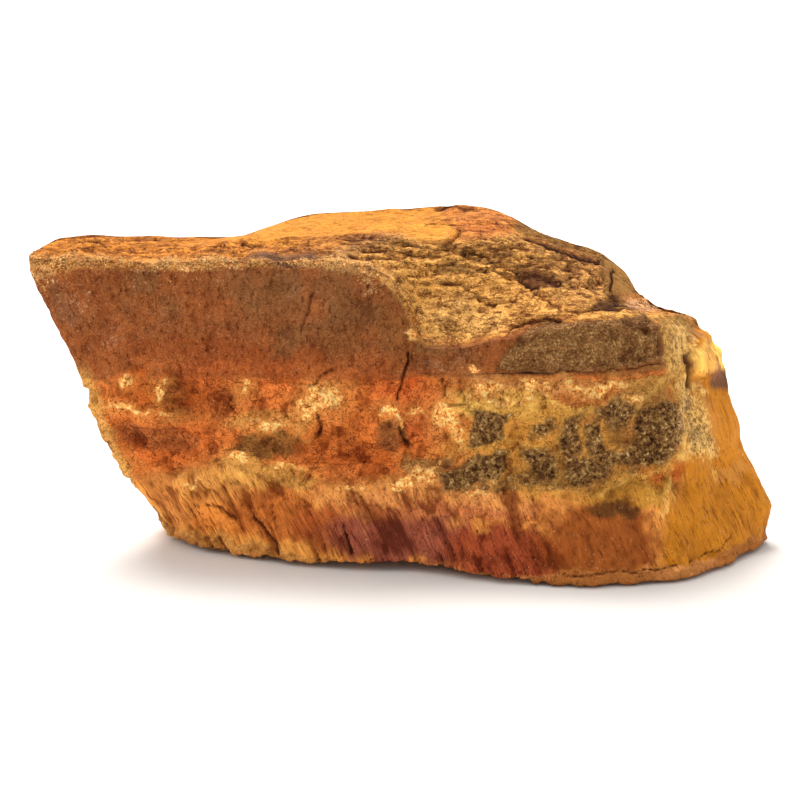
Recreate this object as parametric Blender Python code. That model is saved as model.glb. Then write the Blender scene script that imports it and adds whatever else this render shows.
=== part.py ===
"""Rough tiger's eye: one broken lump of banded, fibrous quartz that lies on a flat of its underside.

The stone is one solid, skinned over courses. A course is a closed line round the stone at one of its
natural levels, such as the lip of a ledge or the edge of the top. Each course starts at the prow, the
sharp left end, follows the face, turns round the tip at the right and comes back behind the crest. The
skin between the courses then gets its broken relief: chipped facets, ledges, knobs, pockets and steps.

Frame: +X towards the thick right end, -Y out of the face, +Z up, origin on the resting flat.
"""

import bmesh
import bpy
import numpy as np

MM = 0.001  # all sizes below are in millimetres

# The face has twelve stations: the prow, eight along the face, the right corner, the end face and the
# tip. Their places on the ground, and where the face ends at the foot of the brow, before the top.
GROUND = [
    (-38.1, -2.0), (-32.1, -8.0), (-25.6, -11.5), (-15.8, -16.0), (-5.5, -18.5), (-0.8, -18.5),
    (1.7, -18.5), (15.5, -23.0), (28.5, -26.0), (44.0, -22.5), (53.2, -12.5), (59.4, -4.0),
]
BROW_FOOT = [
    (-58.9, -2.0, 44.8), (-48.2, -6.5, 45.5), (-36.8, -9.0, 45.9), (-19.4, -11.8, 46.7),
    (-5.2, -13.8, 46.4), (-0.6, -14.2, 43.4), (1.3, -14.6, 37.0), (15.5, -16.3, 36.4),
    (28.0, -17.8, 39.2), (40.2, -16.7, 38.9), (46.0, -5.5, 35.9), (48.9, 1.0, 33.6),
]

# The courses of the face, from the rim that nearly meets the ground up to the foot of the brow. Each has
# its level at every station. It stands out of the plain line from the ground to the brow by so much at
# the left, in the middle and at the right, the prow and the tip lean out past that line, and at the
# back it stands out again. Last, how broken its surface is.
FACE_COURSES = {
    "rim_foot": {
        "levels": [2.4, 1.8, 1.1, 0.6, 0.5, 0.8, 1.0, 0.5, 0.3, 0.3, 0.8, 1.5],
        "stands_out": (0.0, 0.0, 0.0), "leans": (1.1, 0.5), "back": 0.0, "broken": 0.5,
    },
    "rim_lip": {
        "levels": [4.1, 3.3, 2.6, 2.0, 2.2, 2.6, 3.0, 2.6, 2.1, 2.0, 2.3, 3.7],
        "stands_out": (0.5, 1.0, 0.3), "leans": (0.6, 2.0), "back": 0.6, "broken": 0.5,
    },
    "fibre_bulge": {
        "levels": [7.1, 8.1, 8.2, 10.2, 11.0, 10.4, 9.9, 8.5, 7.3, 6.3, 6.8, 6.2],
        "stands_out": (2.4, 3.8, 0.0), "leans": (0.4, 2.6), "back": 1.4, "broken": 0.4,
    },
    "fibre_top": {
        "levels": [9.8, 11.6, 14.6, 12.9, 13.7, 13.8, 13.6, 13.7, 12.9, 13.4, 13.9, 9.8],
        "stands_out": (1.4, 1.2, -1.4), "leans": (-0.8, 2.2), "back": 0.8, "broken": 0.6,
    },
    "hollow": {
        "levels": [12.0, 15.4, 16.8, 16.1, 16.5, 16.7, 16.7, 17.4, 17.2, 17.0, 16.5, 12.6],
        "stands_out": (-1.4, -1.2, -2.1), "leans": (-1.0, 1.5), "back": 0.2, "broken": 0.8,
    },
    "knob_foot": {
        "levels": [17.5, 20.7, 21.3, 21.8, 22.5, 22.3, 22.2, 23.1, 23.7, 22.9, 21.3, 17.6],
        "stands_out": (-0.4, -0.2, -1.9), "leans": (-2.0, 0.6), "back": 0.9, "broken": 0.9,
    },
    "ledge_foot": {
        "levels": [25.0, 27.2, 27.8, 28.8, 29.2, 29.4, 29.4, 29.8, 30.4, 31.0, 27.1, 25.3],
        "stands_out": (-1.4, -1.1, -2.5), "leans": (-0.4, 1.2), "back": 0.6, "broken": 0.6,
    },
    "ledge_lip": {
        "levels": [27.9, 29.6, 29.8, 30.2, 30.5, 30.6, 30.7, 31.2, 32.0, 32.6, 30.3, 27.9],
        "stands_out": (-0.7, -0.4, -0.4), "leans": (-0.5, 1.5), "back": 1.4, "broken": 0.35,
    },
    "brow_foot": {
        "levels": [z for _, _, z in BROW_FOOT],
        "stands_out": (0.0, 0.0, 0.0), "leans": (-0.4, -0.3), "back": 1.0, "broken": 0.35,
    },
}

# The courses of the top, station by station: the brow itself, the line where the sandy slope starts, the
# edge of the rough steps above it and the rim of the plateau.
TOP_COURSES = {
    "brow": [
        (-59.7, -1.5, 47.0), (-48.2, -5.5, 47.2), (-36.9, -8.0, 47.4), (-20.0, -10.5, 48.3),
        (-5.6, -12.5, 48.0), (-0.3, -12.5, 44.8), (2.3, -12.3, 38.6), (15.2, -13.8, 37.4),
        (26.8, -15.5, 39.9), (38.4, -14.2, 40.2), (44.4, -5.0, 38.2), (47.5, 1.0, 36.0),
    ],
    "slope_line": [
        (-58.4, 0.8, 48.2), (-47.9, -2.5, 47.6), (-36.7, -4.5, 47.8), (-20.5, -7.0, 49.0),
        (-6.1, -9.0, 48.6), (0.0, -8.7, 46.0), (3.0, -8.5, 41.8), (14.5, -9.5, 41.0),
        (26.0, -11.5, 41.5), (36.5, -9.5, 39.9), (42.1, -2.0, 37.8), (45.8, 2.0, 36.3),
    ],
    "rough_line": [
        (-56.6, 2.6, 48.6), (-47.1, 0.5, 47.8), (-36.3, -1.0, 48.0), (-20.3, -3.5, 49.4),
        (-6.5, -4.5, 49.2), (0.3, -4.5, 47.8), (3.3, -4.5, 46.3), (15.0, -5.0, 45.0),
        (25.3, -6.0, 43.6), (34.1, -3.0, 40.0), (39.0, 1.0, 38.0), (43.6, 4.0, 36.1),
    ],
    "plateau_rim": [
        (-53.0, 4.5, 48.2), (-45.7, 3.0, 47.9), (-35.5, 2.0, 48.1), (-19.9, -0.5, 49.5),
        (-6.7, -1.0, 49.5), (0.6, -1.2, 49.0), (4.3, -1.0, 48.6), (15.9, 0.0, 48.6),
        (24.8, 1.0, 46.7), (33.0, 4.0, 43.8), (37.2, 4.8, 40.6), (40.6, 5.2, 37.6),
    ],
}
TOP_BROKEN = {"brow": 0.4, "slope_line": 0.7, "rough_line": 0.9, "plateau_rim": 0.45}

# The back runs from the tip round to the prow. Its eleven stations are given on the ground and on the
# crest, and every course of the face comes back between the two at its own level.
BACK_GROUND = [
    (57.5, 5.0), (51.5, 12.0), (43.0, 17.5), (33.0, 21.0), (21.0, 23.5), (8.0, 24.0),
    (-5.0, 22.5), (-15.0, 19.0), (-24.0, 14.5), (-31.5, 9.5), (-37.0, 3.5),
]
CREST = [
    (42.7, 4.5, 36.4), (39.0, 8.0, 38.3), (36.7, 12.0, 41.8), (32.9, 14.5, 44.2),
    (23.9, 18.0, 46.7), (14.3, 20.0, 50.8), (0.0, 20.5, 50.4), (-16.4, 18.0, 49.7),
    (-26.0, 13.5, 47.4), (-40.6, 11.0, 47.7), (-55.3, 7.0, 48.2),
]
BROW_DROP = 3.0  # the brow's foot under the crest
LEVEL_WANDER = 2.2  # how far a course rises and falls along the back
INWARD_AT_CREST = {"brow": 0.0, "slope_line": 0.1, "rough_line": 0.22, "plateau_rim": 0.36}

# The middle line of the top, on which the last course closes.
SPINE = [
    (-50.0, 5.8, 47.7), (-27.0, 6.5, 48.2), (-16.0, 8.0, 49.6), (0.0, 9.5, 50.1), (14.0, 10.0, 50.4),
    (22.0, 9.5, 48.3), (32.0, 9.8, 44.2),
]
CROWN_SHARE = 0.8  # how far the last course has closed from the plateau's rim to the spine
FOOT_INSET = 1.2  # the resting flat's edge inside the rim, and more where the rim stands higher
FOOT_INSET_PER_HEIGHT = 1.5

# Knobs, crusts, blocks and pockets: side (-1 face, 1 back), (x, z), half width, half height, rise.
FORMS = [
    (-1, -41.5, 24.6, 5.2, 3.8, 1.5),  # the broad knob under the prow
    (-1, -34.0, 24.5, 2.2, 4.0, -1.3),  # the dark pocket beside it
    (-1, -38.0, 18.3, 7.5, 1.8, -1.2),  # the hollow under the knob
    (-1, -12.6, 25.2, 3.4, 3.4, 1.2),  # the pale crust in the middle
    (-1, -12.2, 21.0, 1.2, 2.0, -0.9),  # the nick under it
    (-1, -1.5, 23.5, 2.6, 2.6, 0.7),  # a small crust
    (-1, 8.8, 25.0, 3.2, 4.2, 1.1),  # the pale crust beside the dark blocks
    (-1, -24.5, 16.6, 3.6, 1.3, 0.9),  # a pale knob low on the left
    (-1, -19.0, 18.6, 4.0, 1.4, -0.8),  # the shadowed dent over it
    (-1, 20.5, 20.0, 2.6, 4.5, -0.6),  # the gap between the dark blocks
    (-1, 33.5, 22.0, 5.5, 5.5, 0.8),  # the big dark block
    (-1, 49.0, 31.5, 2.8, 3.4, 1.3),  # the golden lump at the end
    (-1, 46.2, 25.5, 1.6, 5.0, -1.0),  # the groove beside it
    (1, 31.0, 26.0, 9.0, 9.0, -2.4),  # a scar where a flake left the back
    (1, 6.0, 34.0, 12.0, 6.0, 1.6),  # the block over it
    (1, -10.0, 19.0, 8.0, 7.0, -1.8),  # a second scar
    (1, -27.0, 34.0, 8.0, 8.0, 1.2),  # a bulge behind the prow
]
FORM_EDGE = 0.45  # share of a form's size over which it falls off

COLUMN_SPACING = 2.0  # between the skin's columns on the face
BACK_COLUMN_SPACING = 2.6
ROW_SPACING = 1.8
TENSION = 0.45  # 0 is a full smooth curve through the stations, 1 is straight runs
FACET_SIZE = 11.0
FACET_DEPTH = 1.3
FACET_CRISPNESS = 9.0  # a high value leaves sharp edges between the facets
BACK_FACET_SIZE = 17.0  # the back broke in larger planes
BACK_FACET_DEPTH = 3.2
GRAIN_SIZE = 4.5
GRAIN_DEPTH = 0.7  # in each direction, so that the skin's own rows and columns don't show
STEP_GRAIN = (15.0, 5.5, 5.5)  # the torn steps of the top run along the stone
STEP_HEIGHT = 1.1
STEP_EDGE = 0.22  # share of a step over which it falls
RELIEF_FADE = 2.5  # the relief dies out over this height above the resting flat
LOWEST_RELIEF = 0.15  # no relief comes nearer to the ground than this


def hashed(cells, seed):
    """A repeatable number from 0 to 1 for each whole-numbered cell."""
    mixed = np.zeros(cells.shape[:-1], np.uint32)
    for axis, prime in enumerate((0x9E3779B1, 0x85EBCA77, 0xC2B2AE3D)):
        mixed ^= cells[..., axis].astype(np.int64).astype(np.uint32) * np.uint32(prime)
        mixed = (mixed ^ (mixed >> np.uint32(15))) * np.uint32(0x2C1B3C6D)
    mixed ^= np.uint32(seed * 7919 + 12345)
    mixed = (mixed ^ (mixed >> np.uint32(13))) * np.uint32(0x297A2D39)
    return (mixed ^ (mixed >> np.uint32(16))).astype(np.float64) / 2.0**32


def soft_noise(points, seed):
    """Smooth noise from -1 to 1: hashed corner values of a unit lattice, blended with an eased weight."""
    base = np.floor(points)
    part = points - base
    ease = part**3 * (part * (part * 6 - 15) + 10)
    total = np.zeros(points.shape[:-1])
    for corner in np.ndindex(2, 2, 2):
        weight = np.prod(np.where(corner, ease, 1 - ease), axis=-1)
        total += weight * hashed(base + corner, seed)
    return total * 2 - 1


def facets(points, seed):
    """Chipped facets from about -1 to 1: a tilted plane round a seat in each cell, the nearest showing."""
    base = np.floor(points)
    total = np.zeros(points.shape[:-1])
    height = np.zeros(points.shape[:-1])
    for offset in np.ndindex(3, 3, 3):
        cell = base + offset - 1
        seat = np.stack([hashed(cell, seed + k) for k in range(3)], -1)
        tilt = np.stack([hashed(cell, seed + 3 + k) for k in range(3)], -1) * 2 - 1
        away = points - cell - seat
        nearness = np.exp(-FACET_CRISPNESS * np.sum(away**2, -1))
        height += nearness * (0.6 * (hashed(cell, seed + 6) * 2 - 1) + np.sum(tilt * away, -1))
        total += nearness
    return height / total


def steps(points, seed):
    """Torn steps from 0 to 1: smooth noise cut into three levels with short falls between them."""
    level = (soft_noise(points / STEP_GRAIN, seed) + 1) * 1.5
    part = np.clip((level % 1 - 0.5) / STEP_EDGE + 0.5, 0, 1)
    return (np.floor(level) + part * part * (3 - 2 * part)) / 3


def eased(x, y):
    """How far x has passed from 0 to y, eased at both ends."""
    t = np.clip(x / y, 0, 1)
    return t * t * (3 - 2 * t)


def face_course(course):
    """A course's twelve stations on the face: up the line from the ground to the brow, and out of it."""
    ground = np.c_[GROUND, np.zeros(len(GROUND))]
    brow = np.array(BROW_FOOT)
    level = np.array(course["levels"])
    line = ground + (brow - ground) * (level / brow[:, 2])[:, None]
    station = np.arange(len(GROUND))
    out = np.interp(station, (2, 5.5, 9), course["stands_out"])
    out[[0, -1]] = 0
    prow, tip = course["leans"]
    line[:, 0] += prow * np.interp(station, (0, 3), (1, 0)) + tip * np.interp(station, (9, 11), (0, 1))
    line[:, 1] -= out
    line[:, 2] = level
    return line


def back_course(name, first, last):
    """A face course's way back from its tip to its prow, between the ground and the crest."""
    crest = np.array(CREST)
    if name in INWARD_AT_CREST:
        return crest + (nearest_on_spine(crest) - crest) * INWARD_AT_CREST[name]
    share = np.linspace(0, 1, len(CREST) + 2)[1:-1]
    level = first[2] + (last[2] - first[2]) * share
    level += LEVEL_WANDER * np.sin(2 * np.pi * share) * np.sin(np.pi * level / crest[:, 2])
    if name == "brow_foot":
        level = crest[:, 2] - BROW_DROP
    ground = np.c_[BACK_GROUND, np.zeros(len(crest))]
    line = ground + (crest - ground) * (level / crest[:, 2])[:, None]
    out = (line - (0.0, 2.0, 0.0)) * (1, 1, 0)
    line += out / np.linalg.norm(out, axis=1)[:, None] * FACE_COURSES[name]["back"]
    line[:, 2] = level
    return line


def nearest_on_spine(points):
    """The spine's point at each x, held between the spine's two ends."""
    spine = np.array(SPINE)
    x = np.clip(points[..., 0], spine[0, 0], spine[-1, 0])
    return np.stack([x, np.interp(x, spine[:, 0], spine[:, 1]), np.interp(x, spine[:, 0], spine[:, 2])], -1)


def courses():
    """All courses, from the edge of the resting flat to the crown: names and an array (course, station, 3)."""
    rings = []
    for name, course in FACE_COURSES.items():
        face = face_course(course)
        rings.append(np.vstack([face, back_course(name, face[-1], face[0])]))
    for name, course in TOP_COURSES.items():
        face = np.array(course)
        rings.append(np.vstack([face, back_course(name, face[-1], face[0])]))
    rim = rings[0]
    inward = (np.array([8.0, 1.0, 0.0]) - rim) * (1, 1, 0)
    inward /= np.linalg.norm(inward, axis=1)[:, None]
    inset = FOOT_INSET + FOOT_INSET_PER_HEIGHT * rim[:, 2:]
    foot = (rim + inward * inset) * (1, 1, 0)
    plateau = rings[-1]
    crown = plateau + (nearest_on_spine(plateau) - plateau) * CROWN_SHARE
    return ["foot", *FACE_COURSES, *TOP_COURSES, "crown"], np.array([foot, *rings, crown])


def round_the_stone(rings):
    """Closed eased curves through the stations of each course: an array (course, column, 3)."""
    length = np.linalg.norm(np.roll(rings, -1, 1) - rings, axis=-1).mean(0)
    stations = rings.shape[1]
    before = np.roll(length, 1)
    ahead = (np.roll(rings, -1, 1) - rings) / length[:, None]
    behind = (rings - np.roll(rings, 1, 1)) / before[:, None]
    heading = (ahead * before[:, None] + behind * length[:, None]) / (length + before)[:, None]
    runs = []
    for i in range(stations):
        j = (i + 1) % stations
        spacing = COLUMN_SPACING if i < len(GROUND) - 1 else BACK_COLUMN_SPACING
        t = np.arange(max(1, round(length[i] / spacing)))
        t = (t / len(t))[:, None]
        pull = (1 - TENSION) * length[i]
        runs.append(
            (2 * t**3 - 3 * t**2 + 1) * rings[:, None, i]
            + (t**3 - 2 * t**2 + t) * heading[:, None, i] * pull
            + (3 * t**2 - 2 * t**3) * rings[:, None, j]
            + (t**3 - t**2) * heading[:, None, j] * pull
        )
    return np.concatenate(runs, axis=1)


def up_the_stone(rings, broken):
    """Straight rows between the courses: an array (row, column, 3), each row's course and how broken it is."""
    rows = []
    levels = []
    for k, (low, high) in enumerate(zip(rings[:-1], rings[1:])):
        count = max(1, round(np.linalg.norm(high - low, axis=-1).mean() / ROW_SPACING))
        for t in np.arange(count) / count:
            rows.append(low + (high - low) * t)
            levels.append(k + t)
    levels.append(len(rings) - 1.0)
    return np.array([*rows, rings[-1]]), np.array(levels), np.interp(levels, range(len(broken)), broken)


def outward(grid):
    """Unit normals of a grid that closes round its columns."""
    across = np.roll(grid, -1, 1) - np.roll(grid, 1, 1)
    up = np.gradient(grid, axis=0)
    normal = np.cross(across, up)
    return normal / np.maximum(np.linalg.norm(normal, axis=-1, keepdims=True), 1e-9)


def forms(grid):
    """How far the knobs, blocks and pockets stand out at each point: a rounded plateau for each form."""
    x, y, z = np.moveaxis(grid, -1, 0)
    rise = np.zeros(x.shape)
    for side, at_x, at_z, half_width, half_height, height in FORMS:
        away = np.hypot((x - at_x) / half_width, (z - at_z) / half_height)
        rise += height * eased(1 + FORM_EDGE - away, 2 * FORM_EDGE) * (y * side > 0)
    return rise


def stone_grid():
    """The finished skin in millimetres: an array (row, column, 3), the first row on the ground."""
    names, rings = courses()
    broken = [FACE_COURSES[n]["broken"] if n in FACE_COURSES else TOP_BROKEN.get(n, 0.4) for n in names]
    grid, course, amount = up_the_stone(round_the_stone(rings), broken)
    over_brow = eased(course - names.index("brow"), 1.0)[:, None]
    under_brow = 1 - eased(course - names.index("ledge_lip"), 1.0)[:, None]
    behind = eased(grid[..., 1] - 2.0, 8.0) * under_brow
    relief = FACET_DEPTH * facets(grid / FACET_SIZE, seed=3)
    relief += over_brow * STEP_HEIGHT * (steps(grid, seed=23) - 0.5)
    relief = relief * amount[:, None] + forms(grid) * (1 - over_brow)
    relief += behind * BACK_FACET_DEPTH * facets(grid / BACK_FACET_SIZE, seed=41)
    lift = np.array([0.0, 0.0, 1.0])
    direction = outward(grid) * (1 - over_brow[..., None]) + lift * over_brow[..., None]
    grain = np.stack([soft_noise(grid / GRAIN_SIZE, seed) for seed in (11, 12, 13)], -1)
    moved = direction * relief[..., None] + grain * GRAIN_DEPTH * amount[:, None, None]
    grid[1:] += (moved * eased(grid[..., 2:], RELIEF_FADE))[1:]
    grid[1:, :, 2] = np.maximum(grid[1:, :, 2], LOWEST_RELIEF)
    return grid


def stone_mesh():
    """One closed mesh: the skin's quads, the flat under it and the cap on its crown."""
    grid = stone_grid()
    rows, columns = grid.shape[:2]
    here = np.arange(rows * columns).reshape(rows, columns)
    beside = np.roll(here, -1, 1)
    quads = np.stack([here[:-1], beside[:-1], beside[1:], here[1:]], -1).reshape(-1, 4)
    faces = quads.tolist() + [here[0][::-1].tolist(), here[-1].tolist()]
    mesh = bpy.data.meshes.new("tigers_eye_stone")
    mesh.from_pydata((grid.reshape(-1, 3) * MM).tolist(), [], faces)
    skin = bmesh.new()
    skin.from_mesh(mesh)
    skin.faces.ensure_lookup_table()
    bmesh.ops.triangulate(skin, faces=[skin.faces[-1]], ngon_method="BEAUTY")
    skin.to_mesh(mesh)
    skin.free()
    return mesh


def stone_material():
    """Iron-stained tiger's eye: a dull ochre-brown stone."""
    material = bpy.data.materials.new("tigers_eye")
    material.use_nodes = True
    shader = material.node_tree.nodes["Principled BSDF"]
    shader.inputs["Base Color"].default_value = (0.40, 0.16, 0.05, 1.0)
    shader.inputs["Roughness"].default_value = 0.7
    shader.inputs["Metallic"].default_value = 0.0
    return material


def build():
    for item in list(bpy.data.objects):
        bpy.data.objects.remove(item)
    stone = bpy.data.objects.new("stone", stone_mesh())
    stone.data.materials.append(stone_material())
    bpy.context.scene.collection.objects.link(stone)


build()
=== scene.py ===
"""A rough tiger's eye on a plain pale floor: the looks of the stone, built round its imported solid."""

import bpy
import numpy as np
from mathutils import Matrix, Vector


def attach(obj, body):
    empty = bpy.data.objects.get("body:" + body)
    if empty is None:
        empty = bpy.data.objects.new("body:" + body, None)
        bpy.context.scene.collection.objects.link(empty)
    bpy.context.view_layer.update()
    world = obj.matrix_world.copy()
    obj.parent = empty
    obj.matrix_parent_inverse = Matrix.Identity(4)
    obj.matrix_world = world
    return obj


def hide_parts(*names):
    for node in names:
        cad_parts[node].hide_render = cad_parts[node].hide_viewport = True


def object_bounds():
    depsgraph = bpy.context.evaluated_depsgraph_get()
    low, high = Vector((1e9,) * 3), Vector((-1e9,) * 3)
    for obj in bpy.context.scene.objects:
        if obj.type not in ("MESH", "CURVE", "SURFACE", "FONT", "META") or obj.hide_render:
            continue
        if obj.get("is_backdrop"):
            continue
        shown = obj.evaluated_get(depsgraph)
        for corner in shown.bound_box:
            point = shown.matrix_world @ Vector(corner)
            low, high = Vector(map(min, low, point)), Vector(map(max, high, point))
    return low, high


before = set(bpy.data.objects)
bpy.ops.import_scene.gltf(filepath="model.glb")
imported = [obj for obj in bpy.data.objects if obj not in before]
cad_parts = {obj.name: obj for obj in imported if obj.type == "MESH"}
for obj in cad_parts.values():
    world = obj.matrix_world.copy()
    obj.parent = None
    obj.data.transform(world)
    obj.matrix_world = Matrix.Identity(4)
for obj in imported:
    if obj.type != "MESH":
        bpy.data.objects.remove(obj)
CAD_LOW, CAD_HIGH = (np.array(corner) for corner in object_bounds())

# ------------------------------------------------------------------------------------------------------
# The lump. One broken piece of banded quartz and ironstone, skinned over its natural levels: closed
# courses run round it from the edge of its resting flat, over the rim, the fibrous seam, the hollow, the
# knobbed layer and the ledge, up to the brow, and on over the torn top to its middle line.
# ------------------------------------------------------------------------------------------------------
MM = 0.001  # sizes of the stone are in millimetres

# Twelve stations of the face, from the prow to the tip: on the ground, and at the foot of the brow.
GROUND = [
    (-38.1, -2.0), (-32.1, -8.0), (-25.6, -11.5), (-15.8, -16.0), (-5.5, -18.5), (-0.8, -18.5),
    (1.7, -18.5), (15.5, -24.4), (28.5, -26.0), (44.0, -22.5), (53.2, -12.5), (59.4, -4.0),
]
BROW_FOOT = [
    (-58.9, -2.0, 44.8), (-48.2, -6.5, 45.5), (-36.8, -9.0, 45.9), (-19.4, -11.8, 46.7),
    (-5.2, -13.8, 46.4), (-0.6, -14.2, 43.4), (1.3, -14.6, 37.0), (15.5, -16.3, 36.4),
    (28.0, -17.8, 39.2), (40.2, -16.7, 38.9), (46.0, -5.5, 35.9), (48.9, 1.0, 33.6),
]
# Each course of the face: its level at every station, how far it stands out of the line from the ground
# to the brow at the left, in the middle and at the right, the lean of the prow and of the tip, how far
# it stands out at the back, and how broken it is.
FACE_COURSES = {
    "rim_foot": ([1.1, 1.0, 1.0, 1.0, 1.7, 1.9, 1.9, 1.2, 0.8, 0.8, 0.8, 1.0],
                 (1.7, 2.2, 3.4), (1.0, 0.8), 0.0, 0.5),
    "rim_lip": ([4.1, 3.3, 2.7, 2.3, 2.5, 2.8, 3.0, 2.6, 2.4, 2.3, 2.5, 3.7],
                (1.6, 2.1, 3.0), (0.6, 1.5), 0.6, 0.5),
    "fibre_bulge": ([7.1, 8.1, 8.2, 10.2, 11.0, 10.4, 9.9, 8.5, 7.3, 6.3, 6.8, 6.2],
                    (2.4, 3.4, 1.2), (0.4, 2.8), 1.4, 0.4),
    "fibre_top": ([9.8, 11.6, 14.6, 12.9, 13.7, 13.8, 13.6, 13.7, 12.9, 13.4, 13.9, 9.8],
                  (1.4, 1.2, -1.4), (-0.8, 2.2), 0.8, 0.6),
    "hollow": ([12.0, 15.4, 16.8, 16.1, 16.5, 16.7, 16.7, 17.4, 17.2, 17.0, 16.5, 12.6],
               (-1.4, -1.2, -2.1), (-1.0, 2.0), 0.2, 0.8),
    "knob_foot": ([17.5, 20.7, 21.3, 21.8, 22.5, 22.3, 22.2, 23.1, 23.7, 22.9, 21.3, 17.6],
                  (-0.4, -0.2, -1.9), (-2.0, 1.2), 0.9, 0.9),
    "ledge_foot": ([25.0, 27.2, 27.8, 28.8, 29.2, 29.4, 29.4, 29.8, 30.4, 31.0, 27.1, 25.3],
                   (-1.4, -1.1, -2.5), (-0.4, 1.2), 0.6, 0.6),
    "ledge_lip": ([27.9, 29.6, 29.8, 30.2, 30.5, 30.6, 30.7, 31.2, 32.0, 32.6, 30.3, 27.9],
                  (-0.7, -0.4, -0.4), (-0.5, 1.5), 1.4, 0.35),
    "brow_foot": ([z for _, _, z in BROW_FOOT], (0.0, 0.0, 0.0), (-0.4, -0.3), 1.0, 0.35),
}
# The courses of the top at the same stations, and how broken each is.
TOP_COURSES = {
    "brow": [
        (-59.7, -1.5, 47.0), (-48.2, -5.5, 47.2), (-36.9, -8.0, 47.4), (-20.0, -10.5, 48.3),
        (-5.6, -12.5, 48.0), (-0.3, -12.5, 44.8), (2.3, -12.3, 38.6), (15.2, -13.8, 37.4),
        (26.8, -15.5, 39.9), (38.4, -14.2, 40.2), (44.4, -5.0, 38.2), (47.5, 1.0, 36.0),
    ],
    "slope_line": [
        (-58.4, 0.8, 48.2), (-47.9, -2.5, 47.6), (-36.7, -4.5, 47.8), (-20.5, -7.0, 49.0),
        (-6.1, -9.0, 48.6), (0.0, -8.7, 46.0), (3.0, -8.5, 41.8), (14.5, -9.5, 41.0),
        (26.0, -11.5, 41.5), (36.5, -9.5, 39.9), (42.1, -2.0, 37.8), (45.8, 2.0, 36.3),
    ],
    "rough_line": [
        (-56.6, 2.6, 48.6), (-47.1, 0.5, 47.8), (-36.3, -1.0, 48.0), (-20.3, -3.5, 49.4),
        (-6.5, -4.5, 49.2), (0.3, -4.5, 47.8), (3.3, -4.5, 46.3), (15.0, -5.0, 45.0),
        (25.3, -6.0, 43.6), (34.1, -3.0, 40.0), (39.0, 1.0, 38.0), (43.6, 4.0, 36.1),
    ],
    "plateau_rim": [
        (-53.0, 4.5, 48.2), (-45.7, 3.0, 47.9), (-35.5, 2.0, 48.1), (-19.9, -0.5, 49.5),
        (-6.7, -1.0, 49.5), (0.6, -1.2, 49.0), (4.3, -1.0, 48.6), (15.9, 0.0, 48.6),
        (24.8, 1.0, 46.7), (33.0, 4.0, 43.8), (37.2, 4.8, 40.6), (40.6, 5.2, 37.6),
    ],
}
TOP_BROKEN = {
    "foot": 0.4, "brow": 0.35, "slope_line": 0.5, "rough_line": 0.6, "plateau_rim": 0.4, "crown": 0.35,
}
# The back's eleven stations from the tip to the prow, on the ground and on the crest.
BACK_GROUND = [
    (57.5, 5.0), (51.5, 12.0), (43.0, 17.5), (33.0, 21.0), (21.0, 23.5), (8.0, 24.0),
    (-5.0, 22.5), (-15.0, 19.0), (-24.0, 14.5), (-31.5, 9.5), (-37.0, 3.5),
]
CREST = [
    (42.7, 4.5, 36.4), (39.0, 8.0, 38.3), (36.7, 12.0, 41.8), (32.9, 14.5, 44.2),
    (23.9, 18.0, 46.7), (14.3, 20.0, 50.8), (0.0, 20.5, 50.4), (-16.4, 18.0, 49.7),
    (-26.0, 13.5, 47.4), (-40.6, 11.0, 47.7), (-55.3, 7.0, 48.2),
]
BACK_MIDDLE = (0.0, 2.0, 0.0)  # where the back's courses stand out from
BROW_DROP = 3.0  # how far the back's foot of the brow lies under the crest
LEVEL_WANDER = 2.2  # how much the levels rise and fall along the back
# How far each course of the top has come in from the crest to the spine, at the back.
INWARD_AT_CREST = {"brow": 0.0, "slope_line": 0.1, "rough_line": 0.22, "plateau_rim": 0.36}
SPINE = [  # the middle line of the top
    (-50.0, 5.8, 47.7), (-27.0, 6.5, 48.2), (-16.0, 8.0, 49.6), (0.0, 9.5, 50.1), (14.0, 10.0, 50.4),
    (22.0, 9.5, 48.3), (32.0, 9.8, 44.2),
]
CROWN_SHARE = 0.975  # how far the last course has closed on the spine
FOOT_INSET = 3.6  # from the rim in to the resting flat
FOOT_INSET_PER_HEIGHT = 2.3  # and more of it where the rim is high
FLAT_MIDDLE = (8.0, 1.0, 0.0)  # the middle of the resting flat
COLUMN_SPACING = 0.32  # between the skin's columns on the face
BACK_COLUMN_SPACING = 1.1
ROW_SPACING = 0.335  # between its rows
TENSION = 0.45  # 0 rounds the curves fully, 1 makes them straight


def eased(x, width):
    """From 0 to 1 while x goes from 0 to width, with a level start and end: 3t^2 - 2t^3."""
    t = np.clip(x / width, 0, 1)
    return t * t * (3 - 2 * t)


def nearest_on_spine(points):
    """The spine's point at each x, held between the spine's two ends."""
    spine = np.array(SPINE)
    x = np.clip(points[..., 0], spine[0, 0], spine[-1, 0])
    return np.stack([x, np.interp(x, spine[:, 0], spine[:, 1]), np.interp(x, spine[:, 0], spine[:, 2])], -1)


def face_course(level, stands_out, leans):
    """Twelve stations: up the line from the ground to the brow by level / brow height, then out of it by
    what is given for stations 2, 5.5 and 9."""
    ground = np.c_[GROUND, np.zeros(len(GROUND))]
    brow = np.array(BROW_FOOT)
    level = np.array(level)
    line = ground + (brow - ground) * (level / brow[:, 2])[:, None]
    station = np.arange(len(GROUND))
    out = np.interp(station, (2, 5.5, 9), stands_out)
    out[[0, -1]] = 0
    line[:, 0] += leans[0] * np.interp(station, (0, 3), (1, 0))
    line[:, 0] += leans[1] * np.interp(station, (9, 11), (0, 1))
    line[:, 1] -= out
    line[:, 2] = level
    return line


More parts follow.
